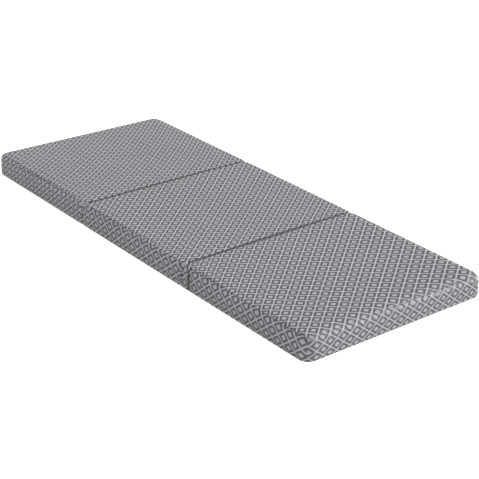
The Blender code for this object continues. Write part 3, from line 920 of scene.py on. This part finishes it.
def round_ended(x_low, x_high, half_width, sides=10):
    """An outline with straight long sides along X and half-round ends."""
    return [*arc(x_high - half_width, half_width, -QUARTER_TURN, HALF_TURN, sides),
            *arc(x_low + half_width, half_width, QUARTER_TURN, HALF_TURN, sides)]


def tube_mesh(line, radius, sides=6):
    """A round bar that follows a line of points, with closed ends."""
    shape = bmesh.new()
    line = [Vector(point) for point in line]
    rings = []
    for point, before, after in zip(line, line[:1] + line, line[1:] + line[-1:]):
        turn = (after - before).normalized().to_track_quat("Z", "X").to_matrix()
        ring = []
        for side in range(sides):
            angle = 2 * math.pi * side / sides
            offset = turn @ Vector((math.cos(angle), math.sin(angle), 0))
            ring.append(shape.verts.new(point + radius * offset))
        rings.append(ring)
    list(joined_rows(shape, rings))
    shape.faces.new(tuple(reversed(rings[0])))
    shape.faces.new(tuple(rings[-1]))
    return smooth_mesh(shape)


# Repeated shapes, set out by Geometry Nodes

def scatter_tree():
    """A node tree that sets one shape on every point of a mesh, slightly varied."""
    tree = bpy.data.node_groups.new("set out", "GeometryNodeTree")
    for name, kind in (("Points", "Geometry"), ("Shape", "Object"), ("Size Variation", "Float"),
                       ("Seed", "Int"), ("Material", "Material")):
        tree.interface.new_socket(name, in_out="INPUT", socket_type="NodeSocket" + kind)
    tree.interface.new_socket("Set Out", in_out="OUTPUT", socket_type="NodeSocketGeometry")
    given = tree.nodes.new("NodeGroupInput").outputs
    result = tree.nodes.new("NodeGroupOutput").inputs
    shape = tree.nodes.new("GeometryNodeObjectInfo")
    points = tree.nodes.new("GeometryNodeMeshToPoints")
    place = tree.nodes.new("GeometryNodeInstanceOnPoints")
    varied = tree.nodes.new("FunctionNodeRandomValue")
    least = tree.nodes.new("ShaderNodeMath")
    least.operation = "SUBTRACT"
    least.inputs[0].default_value = 1.0
    varied.inputs[3].default_value = 1.0
    realize = tree.nodes.new("GeometryNodeRealizeInstances")
    finish = tree.nodes.new("GeometryNodeSetMaterial")
    for start, end in ((given["Points"], points.inputs["Mesh"]),
                       (points.outputs["Points"], place.inputs["Points"]),
                       (given["Shape"], shape.inputs["Object"]),
                       (shape.outputs["Geometry"], place.inputs["Instance"]),
                       (given["Size Variation"], least.inputs[1]),
                       (least.outputs[0], varied.inputs[2]),
                       (given["Seed"], varied.inputs["Seed"]),
                       (varied.outputs[1], place.inputs["Scale"]),
                       (place.outputs["Instances"], realize.inputs["Geometry"]),
                       (realize.outputs["Geometry"], finish.inputs["Geometry"]),
                       (given["Material"], finish.inputs["Material"]),
                       (finish.outputs["Geometry"], result["Set Out"])):
        tree.links.new(start, end)
    return tree


def set_out(points, shape_mesh, material, variation=0.0, seed=1):
    """A plain mesh with one copy of a shape at each point."""
    carrier_mesh = bpy.data.meshes.new("points")
    carrier_mesh.from_pydata(points, [], [])
    carrier = new_thing("points", carrier_mesh)
    shape = new_thing("shape", shape_mesh)
    step = carrier.modifiers.new("set out", "NODES")
    step.node_group = set_out_tree
    values = {"Shape": shape, "Size Variation": variation, "Seed": seed, "Material": material}
    for socket in set_out_tree.interface.items_tree:
        if socket.item_type == "SOCKET" and socket.name in values:
            step[socket.identifier] = values[socket.name]
    carrier.update_tag()
    mesh = finished_mesh(carrier)
    for spare in (carrier, shape):
        bpy.data.objects.remove(spare, do_unlink=True)
    mesh.shade_smooth()
    return mesh


def new_detail(panel, part, mesh, material):
    """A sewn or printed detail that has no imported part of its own."""
    detail = new_thing(panel.name + "_" + part, mesh)
    mesh.materials.clear()
    mesh.materials.append(material)
    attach(detail, panel.name + "_panel")


# Zips

def make_zip(panel):
    """The zip in the long side at +Y, from its tapes to the seams that hold them."""
    for part in ("zip_tape_upper", "zip_tape_lower"):
        new_piece(panel, part, soft_box_mesh(*packed(panel.name, part), TAPE_ROUNDING), tape_cloth)
    make_chain(panel)
    for part in ("zip_stop_head_end", "zip_stop_foot_end"):
        new_piece(panel, part, soft_box_mesh(*packed(panel.name, part), STOP_ROUNDING, 3), zip_metal)
    make_slider(panel)
    make_pull(panel)
    slot_low, slot_high = slot_ends(panel)
    start = slot_low - STITCH_SETBACK
    count = round((slot_high - slot_low + 2 * STITCH_SETBACK) / STITCH_PITCH)
    for part, sign in (("zip_seam_upper", 1), ("zip_seam_lower", -1)):
        height = ZIP_HEIGHT + sign * (ZIP_SLOT_HEIGHT / 2 + STITCH_SETBACK)
        face = HALF_WIDTH + STITCH_RADIUS * 0.3
        points = [(start + STITCH_PITCH * (number + 0.5), face, height) for number in range(count)]
        mesh = set_out(points, stitch_mesh(), seam_thread, variation=0.1)
        follow_wall(mesh)
        new_detail(panel, part, mesh, seam_thread)


def follow_wall(mesh):
    """Sets stitches back on the wall, which bulges between its edges."""
    for vertex in mesh.vertices:
        share = (vertex.co.z - BASE_EDGE_RADIUS) / UPRIGHT_HEIGHT
        vertex.co.y -= SIDE_BULGE * (1 - math.sin(math.pi * share))


def stitch_mesh():
    """One stitch of thread along X, its ends going down into the cloth."""
    half = STITCH_LENGTH / 2
    sunk = -STITCH_RADIUS * 1.6
    on_top = [(-half * 0.8, 0, 0), (0, STITCH_RADIUS * 0.5, 0), (half * 0.8, 0, 0)]
    return tube_mesh([(-half, sunk, 0), *on_top, (half, sunk, 0)], STITCH_RADIUS)


def make_chain(panel):
    """Two coils of nylon whose loops hook into each other along the middle of the zip."""
    low, high = packed(panel.name, "zip_chain")
    half = (high - low) / 2
    middle = (low + high) / 2
    count = int((high.x - low.x - COIL_WIRE * 2) / COIL_PITCH)
    start = middle.x - COIL_PITCH * (count - 1) / 2
    parts = []
    for sign, shift in ((1, 0.0), (-1, COIL_PITCH / 2)):
        xs = [start + shift + COIL_PITCH * number for number in range(count)]
        points = [(x, middle.y, middle.z) for x in xs if x < high.x - COIL_WIRE]
        parts.append(set_out(points, coil_loop_mesh(half.z, half.y, sign), chain_nylon))
    new_piece(panel, "zip_chain", mesh_of(shape_of(*parts)), chain_nylon)


def coil_loop_mesh(half_height, half_depth, sign):
    """One loop of a coil: up the front, round its head past the middle, and back behind."""
    front = half_depth - COIL_WIRE
    outer = half_height - COIL_WIRE
    head = -COIL_OVERLAP
    lean = COIL_PITCH * 0.16
    line = [(-lean, -front * 0.2, outer), (-lean, front * 0.8, outer * 0.96)]
    line += [(-lean * 0.5, front, outer * 0.7), (0, front, outer * 0.2), (0, front * 0.8, head)]
    line += [(lean * 0.5, -front * 0.8, head), (lean, -front, outer * 0.2), (lean, -front, outer * 0.8)]
    return tube_mesh([(x, y, sign * z) for x, y, z in line], COIL_WIRE)


def slider_face(panel):
    """The middle of the slider's face that looks at the chain."""
    low, high = packed(panel.name, "zip_slider")
    return Vector(((low.x + high.x) / 2, low.y + SLIDER_DEPTH, (low.z + high.z) / 2))


def pin_place(panel):
    knuckle = PIN_RADIUS + FIT_GAP + PULL_WALL
    return slider_face(panel) + Vector((0, SLIDER_WALL + FIT_GAP + knuckle, 0))


def make_slider(panel):
    """The slider: a shaped plate with flanges round the chain, and a bridge that holds the pin."""
    half = SLIDER_LENGTH / 2
    face = slider_face(panel)
    pin = pin_place(panel)
    nose = SLIDER_HALF_HEIGHT
    tail = nose * 0.8
    shape = [(-half, -tail * 0.8), (-half * 0.8, -tail), (half * 0.1, -tail * 1.04), (half * 0.55, -nose)]
    shape += [(half * 0.9, -nose * 0.9), (half, -nose * 0.45), (half * 0.94, 0)]
    shape += [(x, -z) for x, z in reversed(shape[:-1])]
    plate = plate_mesh([shape], SLIDER_WALL, SLIDER_ROUNDING)
    plate.transform(Matrix.Translation(face + Vector((0, SLIDER_WALL / 2, 0))))
    parts = [plate]
    for sign in (1, -1):
        inner = face.z + sign * (nose - SLIDER_FLANGE)
        outer = face.z + sign * nose
        low = (face.x - half * 0.2, face.y - SLIDER_DEPTH, min(inner, outer))
        high = (face.x + half * 0.86, face.y + SLIDER_WALL * 0.5, max(inner, outer))
        parts.append(soft_box_mesh(low, high, METAL_ROUNDING))
        inner = face.z + sign * (PULL_KNUCKLE_WIDTH / 2 + FIT_GAP)
        outer = inner + sign * EAR_WIDTH
        low = (face.x - EAR_LENGTH / 2, face.y + SLIDER_WALL * 0.5, min(inner, outer))
        high = (face.x + EAR_LENGTH / 2, pin.y + PIN_RADIUS + EAR_CAP, max(inner, outer))
        parts.append(soft_box_mesh(low, high, METAL_ROUNDING))
    parts.append(rod_mesh(PIN_RADIUS, PULL_KNUCKLE_WIDTH + 2 * FIT_GAP + EAR_WIDTH, pin))
    new_piece(panel, "zip_slider", mesh_of(shape_of(*parts)), zip_metal, body="slider")


def make_pull(panel):
    """The pull: a knuckle on the pin, a neck and a tab with a long eye in it."""
    bore = PIN_RADIUS + FIT_GAP / 2
    knuckle_radius = PIN_RADIUS + FIT_GAP + PULL_WALL
    rings = [arc(0.0, radius, 0.0, 2 * math.pi, 20)[:-1] for radius in (knuckle_radius, bore)]
    knuckle = plate_mesh(rings, PULL_KNUCKLE_WIDTH, KNUCKLE_ROUNDING)
    knuckle.transform(Matrix.Rotation(QUARTER_TURN, 4, "X"))
    start = -knuckle_radius - PULL_NECK_LENGTH
    neck_half = PULL_THICKNESS * 0.42
    neck = soft_box_mesh((start - PULL_NECK_LAP, -neck_half, -PULL_NECK_HALF_WIDTH),
                         (-PIN_RADIUS - FIT_GAP * 1.5, neck_half, PULL_NECK_HALF_WIDTH), METAL_ROUNDING)
    half = PULL_WIDTH / 2
    eye = round_ended(-PULL_LENGTH + EYE_WALL, -PULL_LENGTH + EYE_END, half - EYE_WALL)
    tab = plate_mesh([round_ended(-PULL_LENGTH, start, half), eye], PULL_THICKNESS, TAB_ROUNDING)
    mesh = mesh_of(shape_of(knuckle, neck, tab))
    mesh.transform(Matrix.Translation(pin_place(panel)))
    new_piece(panel, "zip_pull", mesh, zip_metal, body="pull")


# Cloth hinges between the panels

def make_strip(name, up_sign):
    """A creased strip of cloth in the groove of a seam."""
    low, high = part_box(name)
    fold_x = (low.x + high.x) / 2
    half = (high.x - low.x) / 2
    edge = low.z if up_sign > 0 else high.z
    length = high.y - low.y
    row_count = round(length / STRIP_ROW)
    shape = bmesh.new()
    rows = []
    for row in range(row_count + 1):
        y = low.y + length * row / row_count
        sway = 2 * math.sin(y * STRIP_SWAY_RATE)
        points = []
        for step in range(STRIP_STEPS + 1):
            share = 2 * step / STRIP_STEPS - 1
            rise = STRIP_RISE * (0.5 + 0.5 * math.cos(math.pi * share))
            wave = STRIP_WAVE * math.sin(y * STRIP_WAVE_RATE + sway) * (1 - share ** 2)
            z = edge + up_sign * (STRIP_THICKNESS / 2 + rise + wave)
            points.append(shape.verts.new((fold_x + half * share, y, z)))
        rows.append(points)
    across = sum((second.co - first.co).length for first, second in zip(rows[0], rows[0][1:]))
    lattice_map = shape.loops.layers.uv.new("top lattice")
    for _, _, face in joined_rows(shape, rows, closed=False):
        for loop in face.loops:
            x, y, _ = loop.vert.co
            loop[lattice_map].uv = [laid(lie, x, y) for lie in TOP_KNITS["middle"]]
    mesh = mesh_of(shape)
    mesh.shade_smooth()
    strip = new_thing(name + "_form", mesh)
    mesh.materials.append(strip_cloth)
    step = strip.modifiers.new("cloth thickness", "SOLIDIFY")
    step.thickness = STRIP_THICKNESS
    step.offset = 0.0
    thick = finished_mesh(strip)
    strip.modifiers.remove(step)
    strip.data = thick
    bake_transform(strip)
    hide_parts(name)


# Grip dots on the underside

def make_grip_dots(panel):
    """Small rubber dots printed on the base cloth in staggered rows."""
    points = []
    x_low, x_high = panel.x_low + DOT_MARGIN, panel.x_high - DOT_MARGIN
    y_high = HALF_WIDTH - DOT_MARGIN
    columns = int((x_high - x_low) / DOT_PITCH)
    rows = int(2 * y_high / DOT_PITCH)
    for row in range(rows + 1):
        shift = DOT_PITCH / 2 if row % 2 else 0.0
        y = -y_high + (2 * y_high) * row / rows
        for column in range(columns):
            x = x_low + DOT_PITCH * (column + 0.25) + shift
            points.append((x, y, 0.0))
    mesh = set_out(points, dot_mesh(), grip_rubber, variation=0.15, seed=7)
    new_detail(panel, "grip_dots", mesh, grip_rubber)


def dot_mesh():
    """One dot, domed downwards, from ring to ring and closed at both poles."""
    shape = bmesh.new()
    rings = []
    for step in range(1, DOT_RINGS):
        angle = math.pi * step / DOT_RINGS
        ring = arc(0.0, DOT_RADIUS * math.sin(angle), 0.0, 2 * math.pi, DOT_SIDES)[:-1]
        rings.append([shape.verts.new((x, y, -DOT_HEIGHT * math.cos(angle))) for x, y in ring])
    lowest = shape.verts.new((0, 0, -DOT_HEIGHT))
    highest = shape.verts.new((0, 0, DOT_HEIGHT))
    for side in range(DOT_SIDES):
        following = (side + 1) % DOT_SIDES
        shape.faces.new((lowest, rings[0][following], rings[0][side]))
        shape.faces.new((highest, rings[-1][side], rings[-1][following]))
        for low, high in zip(rings, rings[1:]):
            shape.faces.new((low[side], low[following], high[following], high[side]))
    return smooth_mesh(shape)


# Materials

def new_material(name, slot):
    """An empty material, and its node tree and shader."""
    material = bpy.data.materials.new(name)
    material.use_nodes = True
    material["slot"] = slot
    tree = material.node_tree
    return material, tree, tree.nodes["Principled BSDF"]


def feed(socket, value):
    """Gives a socket a number or a colour, or links it to another step's output."""
    if isinstance(value, bpy.types.NodeSocket):
        socket.id_data.links.new(value, socket)
    else:
        socket.default_value = value


def new_step(kind, *values):
    """A step in the node tree that the first linked one of its values belongs to."""
    tree = next(value.id_data for value in values if isinstance(value, bpy.types.NodeSocket))
    return tree.nodes.new("ShaderNode" + kind)


def set_shader(shader, **values):
    """Gives the shader's sockets their values; a socket's name has _ in place of each space."""
    for name, value in values.items():
        feed(shader.inputs[name.replace("_", " ")], value)


def maths(operation, *values):
    step = new_step("Math", *values)
    step.operation = operation
    for socket, value in zip(step.inputs, values):
        feed(socket, value)
    return step.outputs[0]


def plus(first, second):
    return maths("ADD", first, second)


def minus(first, second):
    return maths("SUBTRACT", first, second)


def times(first, second):
    return maths("MULTIPLY", first, second)


def scaled(value, factor, start):
    return maths("MULTIPLY_ADD", value, factor, start)


def size_of(value):
    return maths("ABSOLUTE", value)


def mixed(share, first, second):
    step = new_step("Mix", share, first, second)
    step.data_type = "RGBA"
    for number, value in ((0, share), (6, first), (7, second)):
        feed(step.inputs[number], value)
    return step.outputs[2]


def stepped(value, low, high):
    """0 below low, 1 above high, and a smooth rise between them."""
    step = new_step("MapRange", value)
    step.interpolation_type = "SMOOTHSTEP"
    for socket, given in zip(step.inputs, (value, low, high)):
        feed(socket, given)
    return step.outputs[0]


def noise(place, scale, detail=2.0, roughness=0.5):
    step = new_step("TexNoise", place)
    for name, value in (("Vector", place), ("Scale", scale), ("Detail", detail), ("Roughness", roughness)):
        feed(step.inputs[name], value)
    return step.outputs[0]


def parts_of(place):
    step = new_step("SeparateXYZ", place)
    feed(step.inputs[0], place)
    return step.outputs


def face_value(tree, name):
    step = tree.nodes.new("ShaderNodeAttribute")
    step.attribute_name = name
    return step.outputs["Fac"]


def object_place(tree):
    return tree.nodes.new("ShaderNodeTexCoord").outputs["Object"]


def raised(height, distance, under=None):
    """A bump whose height is 1 at distance metres."""
    step = new_step("Bump", height)
    feed(step.inputs["Distance"], distance)
    feed(step.inputs["Height"], height)
    if under is not None:
        feed(step.inputs["Normal"], under)
    return step.outputs[0]


def toned(colour, tone):
    step = new_step("VectorMath", tone)
    step.operation = "SCALE"
    feed(step.inputs[0], colour)
    feed(step.inputs["Scale"], tone)
    return step.outputs[0]


def lattice(tree, uv_map):
    """Nested diamonds of one UV map: their colour, their raised parts and their stitches."""
    flat_place = tree.nodes.new("ShaderNodeUVMap")
    flat_place.uv_map = uv_map
    stitches = [times(value, STITCHES_ACROSS) for value in parts_of(flat_place.outputs[0])[:2]]
    u, v = [maths("DIVIDE", plus(maths("FLOOR", value), 0.5), STITCHES_ACROSS) for value in stitches]
    reach = [size_of(minus(value, maths("ROUND", value))) for value in (plus(u, v), minus(u, v))]
    out = maths("MAXIMUM", *reach)
    line = stepped(out, 0.5 - LINE_SHARE - EDGE_SOFTNESS_SHARE, 0.5 - LINE_SHARE + EDGE_SOFTNESS_SHARE)
    beyond = stepped(out, CENTRE_SHARE - EDGE_SOFTNESS_SHARE, CENTRE_SHARE + EDGE_SOFTNESS_SHARE)
    colour = mixed(line, mixed(beyond, KNIT_CENTRE, KNIT_RING), KNIT_LINE)
    pale = maths("MAXIMUM", line, minus(1.0, beyond))

    # Two slanted legs in each stitch
    in_wale = minus(maths("FRACT", stitches[0]), 0.5)
    slant = times(size_of(in_wale), 1.6)
    loop = size_of(maths("SINE", times(plus(stitches[1], slant), HALF_TURN)))
    leg = size_of(maths("SINE", times(in_wale, 2 * HALF_TURN)))
    return colour, pale, times(leg, scaled(loop, 0.6, 0.4))


def part_way(share, first, second):
    return scaled(share, minus(second, first), first)


def knit_material(name, slot, own_wash):
    """Grey jacquard knit: nested diamonds with a pale line, a dark ring and a pale centre.

    Each piece shows its own lattice. At the ends the border's gives way to the top's over the rounded edge,
    where the cloth is stretched.
    """
    material, tree, shader = new_material(name, slot)
    wash = part_way(face_value(tree, "gradual"), own_wash, face_value(tree, "wash"))
    side_colour, side_pale, side_stitch = lattice(tree, "side lattice")
    top_colour, top_pale, top_stitch = lattice(tree, "top lattice")
    colour = mixed(wash, mixed(SIDE_FADE, side_colour, KNIT_BLEND), top_colour)
    stitch = part_way(wash, side_stitch, top_stitch)
    # Painted shade: faces marked on the walls at the folds and in the foot's side seam are mixed toward
    # near-black
    colour = mixed(times(face_value(tree, "dark"), WALL_SHADE), colour, KNIT_PAINTED_SHADE)
    place = object_place(tree)
    tone = scaled(stitch, STITCH_CONTRAST, 1 - STITCH_CONTRAST * 0.42)
    tone = times(tone, scaled(noise(place, HEATHER_SCALE, 3.0, 0.7), 0.30, 0.85))
    tone = times(tone, scaled(noise(place, PATCH_SCALE), 0.10, 0.95))
    relief = raised(part_way(wash, side_pale, top_pale), KNIT_RELIEF)
    set_shader(shader, Base_Color=toned(colour, tone), Normal=raised(stitch, STITCH_RELIEF, relief),
               Roughness=0.6, Specular_IOR_Level=0.5, Sheen_Weight=0.03, Sheen_Roughness=0.5)
    return material


def strip_material(name, slot):
    """The cover's knit as it shows deep in a fold: the same lattice, in shade."""
    material, tree, shader = new_material(name, slot)
    colour, _, stitch = lattice(tree, "top lattice")
    set_shader(shader, Base_Color=mixed(STRIP_SHADE, colour, KNIT_PAINTED_SHADE), Normal=raised(stitch, STITCH_RELIEF),
               Roughness=0.7)
    return material


def woven_material(name, slot, colour, pitch, relief):
    """A plain weave of threads over and under each other, in the object's X, Y and Z."""
    material, tree, shader = new_material(name, slot)
    place = object_place(tree)
    x, y, z = parts_of(place)
    warp, weft = [maths("SINE", times(plus(value, z), HALF_TURN / pitch)) for value in (x, y)]
    over = stepped(times(warp, weft), -0.3, 0.3)
    height = plus(times(size_of(warp), over), times(size_of(weft), minus(1.0, over)))
    tone = times(scaled(height, 0.35, 0.75), scaled(noise(place, HEATHER_SCALE, 3.0), 0.4, 0.8))
    set_shader(shader, Base_Color=toned(colour, tone), Normal=raised(height, relief), Roughness=0.85,
               Specular_IOR_Level=0.2)
    return material


def foam_material(name, slot, colour, cell):
    """Open-celled foam, cut smooth."""
    material, tree, shader = new_material(name, slot)
    place = object_place(tree)
    cells = new_step("TexVoronoi", place)
    feed(cells.inputs["Vector"], place)
    feed(cells.inputs["Scale"], 1 / cell)
    depth = stepped(cells.outputs["Distance"], 0.1, 0.6)
    tone = times(scaled(depth, 0.25, 0.8), scaled(noise(place, 14.0, 3.0), 0.1, 0.95))
    set_shader(shader, Base_Color=toned(colour, tone), Normal=raised(depth, cell * 0.4), Roughness=0.95,
               Specular_IOR_Level=0.1, Subsurface_Weight=0.05, Subsurface_Radius=(0.004, 0.004, 0.004))
    return material


def plain_material(name, slot, colour, roughness, metallic=0.0, wear=60.0):
    """Moulded nylon, thread, rubber or metal, with faint unevenness."""
    material, tree, shader = new_material(name, slot)
    place = object_place(tree)
    worn = noise(place, wear, 4.0)
    set_shader(shader, Base_Color=toned(colour, scaled(worn, 0.3, 0.85)),
               Roughness=scaled(worn, 0.2, roughness - 0.1), Metallic=metallic,
               Normal=raised(noise(place, wear * 40), PLAIN_RELIEF))
    return material


# Floor, light and camera

def make_floor():
    shape = bmesh.new()
    bmesh.ops.create_grid(shape, x_segments=1, y_segments=1, size=FLOOR_SIZE)
    mesh = mesh_of(shape)
    floor = new_thing("floor", mesh)
    floor.location = (0, 0, FLOOR_HEIGHT)
    material, tree, shader = new_material("pale_floor", "")
    path = tree.nodes.new("ShaderNodeLightPath")
    lift = times(path.outputs["Is Camera Ray"], FLOOR_LIFT)
    set_shader(shader, Base_Color=(*[FLOOR_TONE] * 3, 1.0), Roughness=1.0, Specular_IOR_Level=0.0,
               Emission_Color=(1, 1, 1, 1), Emission_Strength=lift)
    mesh.materials.append(material)


def make_light():
    world = bpy.data.worlds.new("pale room")
    world.use_nodes = True
    tree = world.node_tree
    path = tree.nodes.new("ShaderNodeLightPath")
    seen = mixed(path.outputs["Is Camera Ray"], (*[ROOM_LEVEL] * 3, 1.0), (1, 1, 1, 1))
    feed(tree.nodes["Background"].inputs["Color"], seen)
    bpy.context.scene.world = world
    make_sun("window light", SUN_STRENGTH, SUN_AZIMUTH, SUN_ELEVATION)
    make_sun("fill light", FILL_STRENGTH, FILL_AZIMUTH, FILL_ELEVATION)


def toward(azimuth, elevation):
    """The way to a place in the sky, from its degrees anticlockwise from +X and up from the floor."""
    azimuth = math.radians(azimuth)
    elevation = math.radians(elevation)
    level = math.cos(elevation)
    return Vector((level * math.cos(azimuth), level * math.sin(azimuth), math.sin(elevation)))


def make_sun(name, strength, azimuth, elevation):
    """A soft light from far away."""
    data = bpy.data.lights.new(name, "SUN")
    data.energy = strength
    data.angle = math.radians(SUN_SOFTNESS)
    sun = new_thing(name, data)
    sun.rotation_mode = "QUATERNION"
    sun.rotation_quaternion = toward(azimuth, elevation).to_track_quat("Z", "Y")


def make_camera():
    """The camera, turned about its line of sight by its roll."""
    back = toward(CAMERA_AZIMUTH, CAMERA_ELEVATION)
    roll = math.radians(CAMERA_ROLL)
    level_right = (-back).cross(Vector((0, 0, 1))).normalized()
    level_up = level_right.cross(-back)
    right = level_right * math.cos(roll) + level_up * math.sin(roll)
    up = level_up * math.cos(roll) - level_right * math.sin(roll)
    data = bpy.data.cameras.new("camera")
    data.lens = CAMERA_LENS
    data.sensor_width = CAMERA_SENSOR
    camera = new_thing("camera", data)
    camera.rotation_mode = "QUATERNION"
    camera.rotation_quaternion = Matrix((right, up, back)).transposed().to_quaternion()
    camera.location = Vector(CAMERA_AIM) + back * CAMERA_DISTANCE
    bpy.context.scene.camera = camera


knit_top = knit_material("grey lattice knit, top", "knit_top", 1.0)
knit_border = knit_material("grey lattice knit, border", "knit_border", 0.0)
base_cloth = woven_material("dark woven base cloth", "base_cloth", (0.055, 0.055, 0.06), 0.0011, 0.0002)
liner_knit = woven_material("white liner knit", "liner_knit", (0.72, 0.72, 0.70), 0.0014, 0.0002)
soft_foam = foam_material("pale blue soft foam", "soft_foam", (0.62, 0.68, 0.78), 0.0009)
firm_foam = foam_material("cream firm foam", "firm_foam", (0.80, 0.76, 0.62), 0.0013)
tape_cloth = woven_material("grey zip tape", "tape_cloth", (0.10, 0.10, 0.105), 0.0006, 0.00015)
chain_nylon = plain_material("dark nylon coil", "chain_nylon", (0.07, 0.07, 0.075), 0.4)
zip_metal = plain_material("dull zip metal", "zip_metal", (0.34, 0.34, 0.35), 0.38, 0.9, 150.0)
strip_cloth = strip_material("knit hinge cloth", "strip_cloth")
seam_thread = plain_material("grey seam thread", "knit_border", (0.20, 0.20, 0.21), 0.7, 0.0, 900.0)
grip_rubber = plain_material("grey grip rubber", "base_cloth", (0.16, 0.16, 0.165), 0.6, 0.0, 200.0)
set_out_tree = scatter_tree()

for panel in PANELS:
    make_covers(panel)
    make_liner(panel)
    make_foams(panel)
    make_zip(panel)
    make_grip_dots(panel)
make_strip("head_fold_strip", 1)
make_strip("foot_fold_strip", -1)

make_floor()
make_light()
make_camera()
bpy.context.scene.view_settings.view_transform = "Standard"
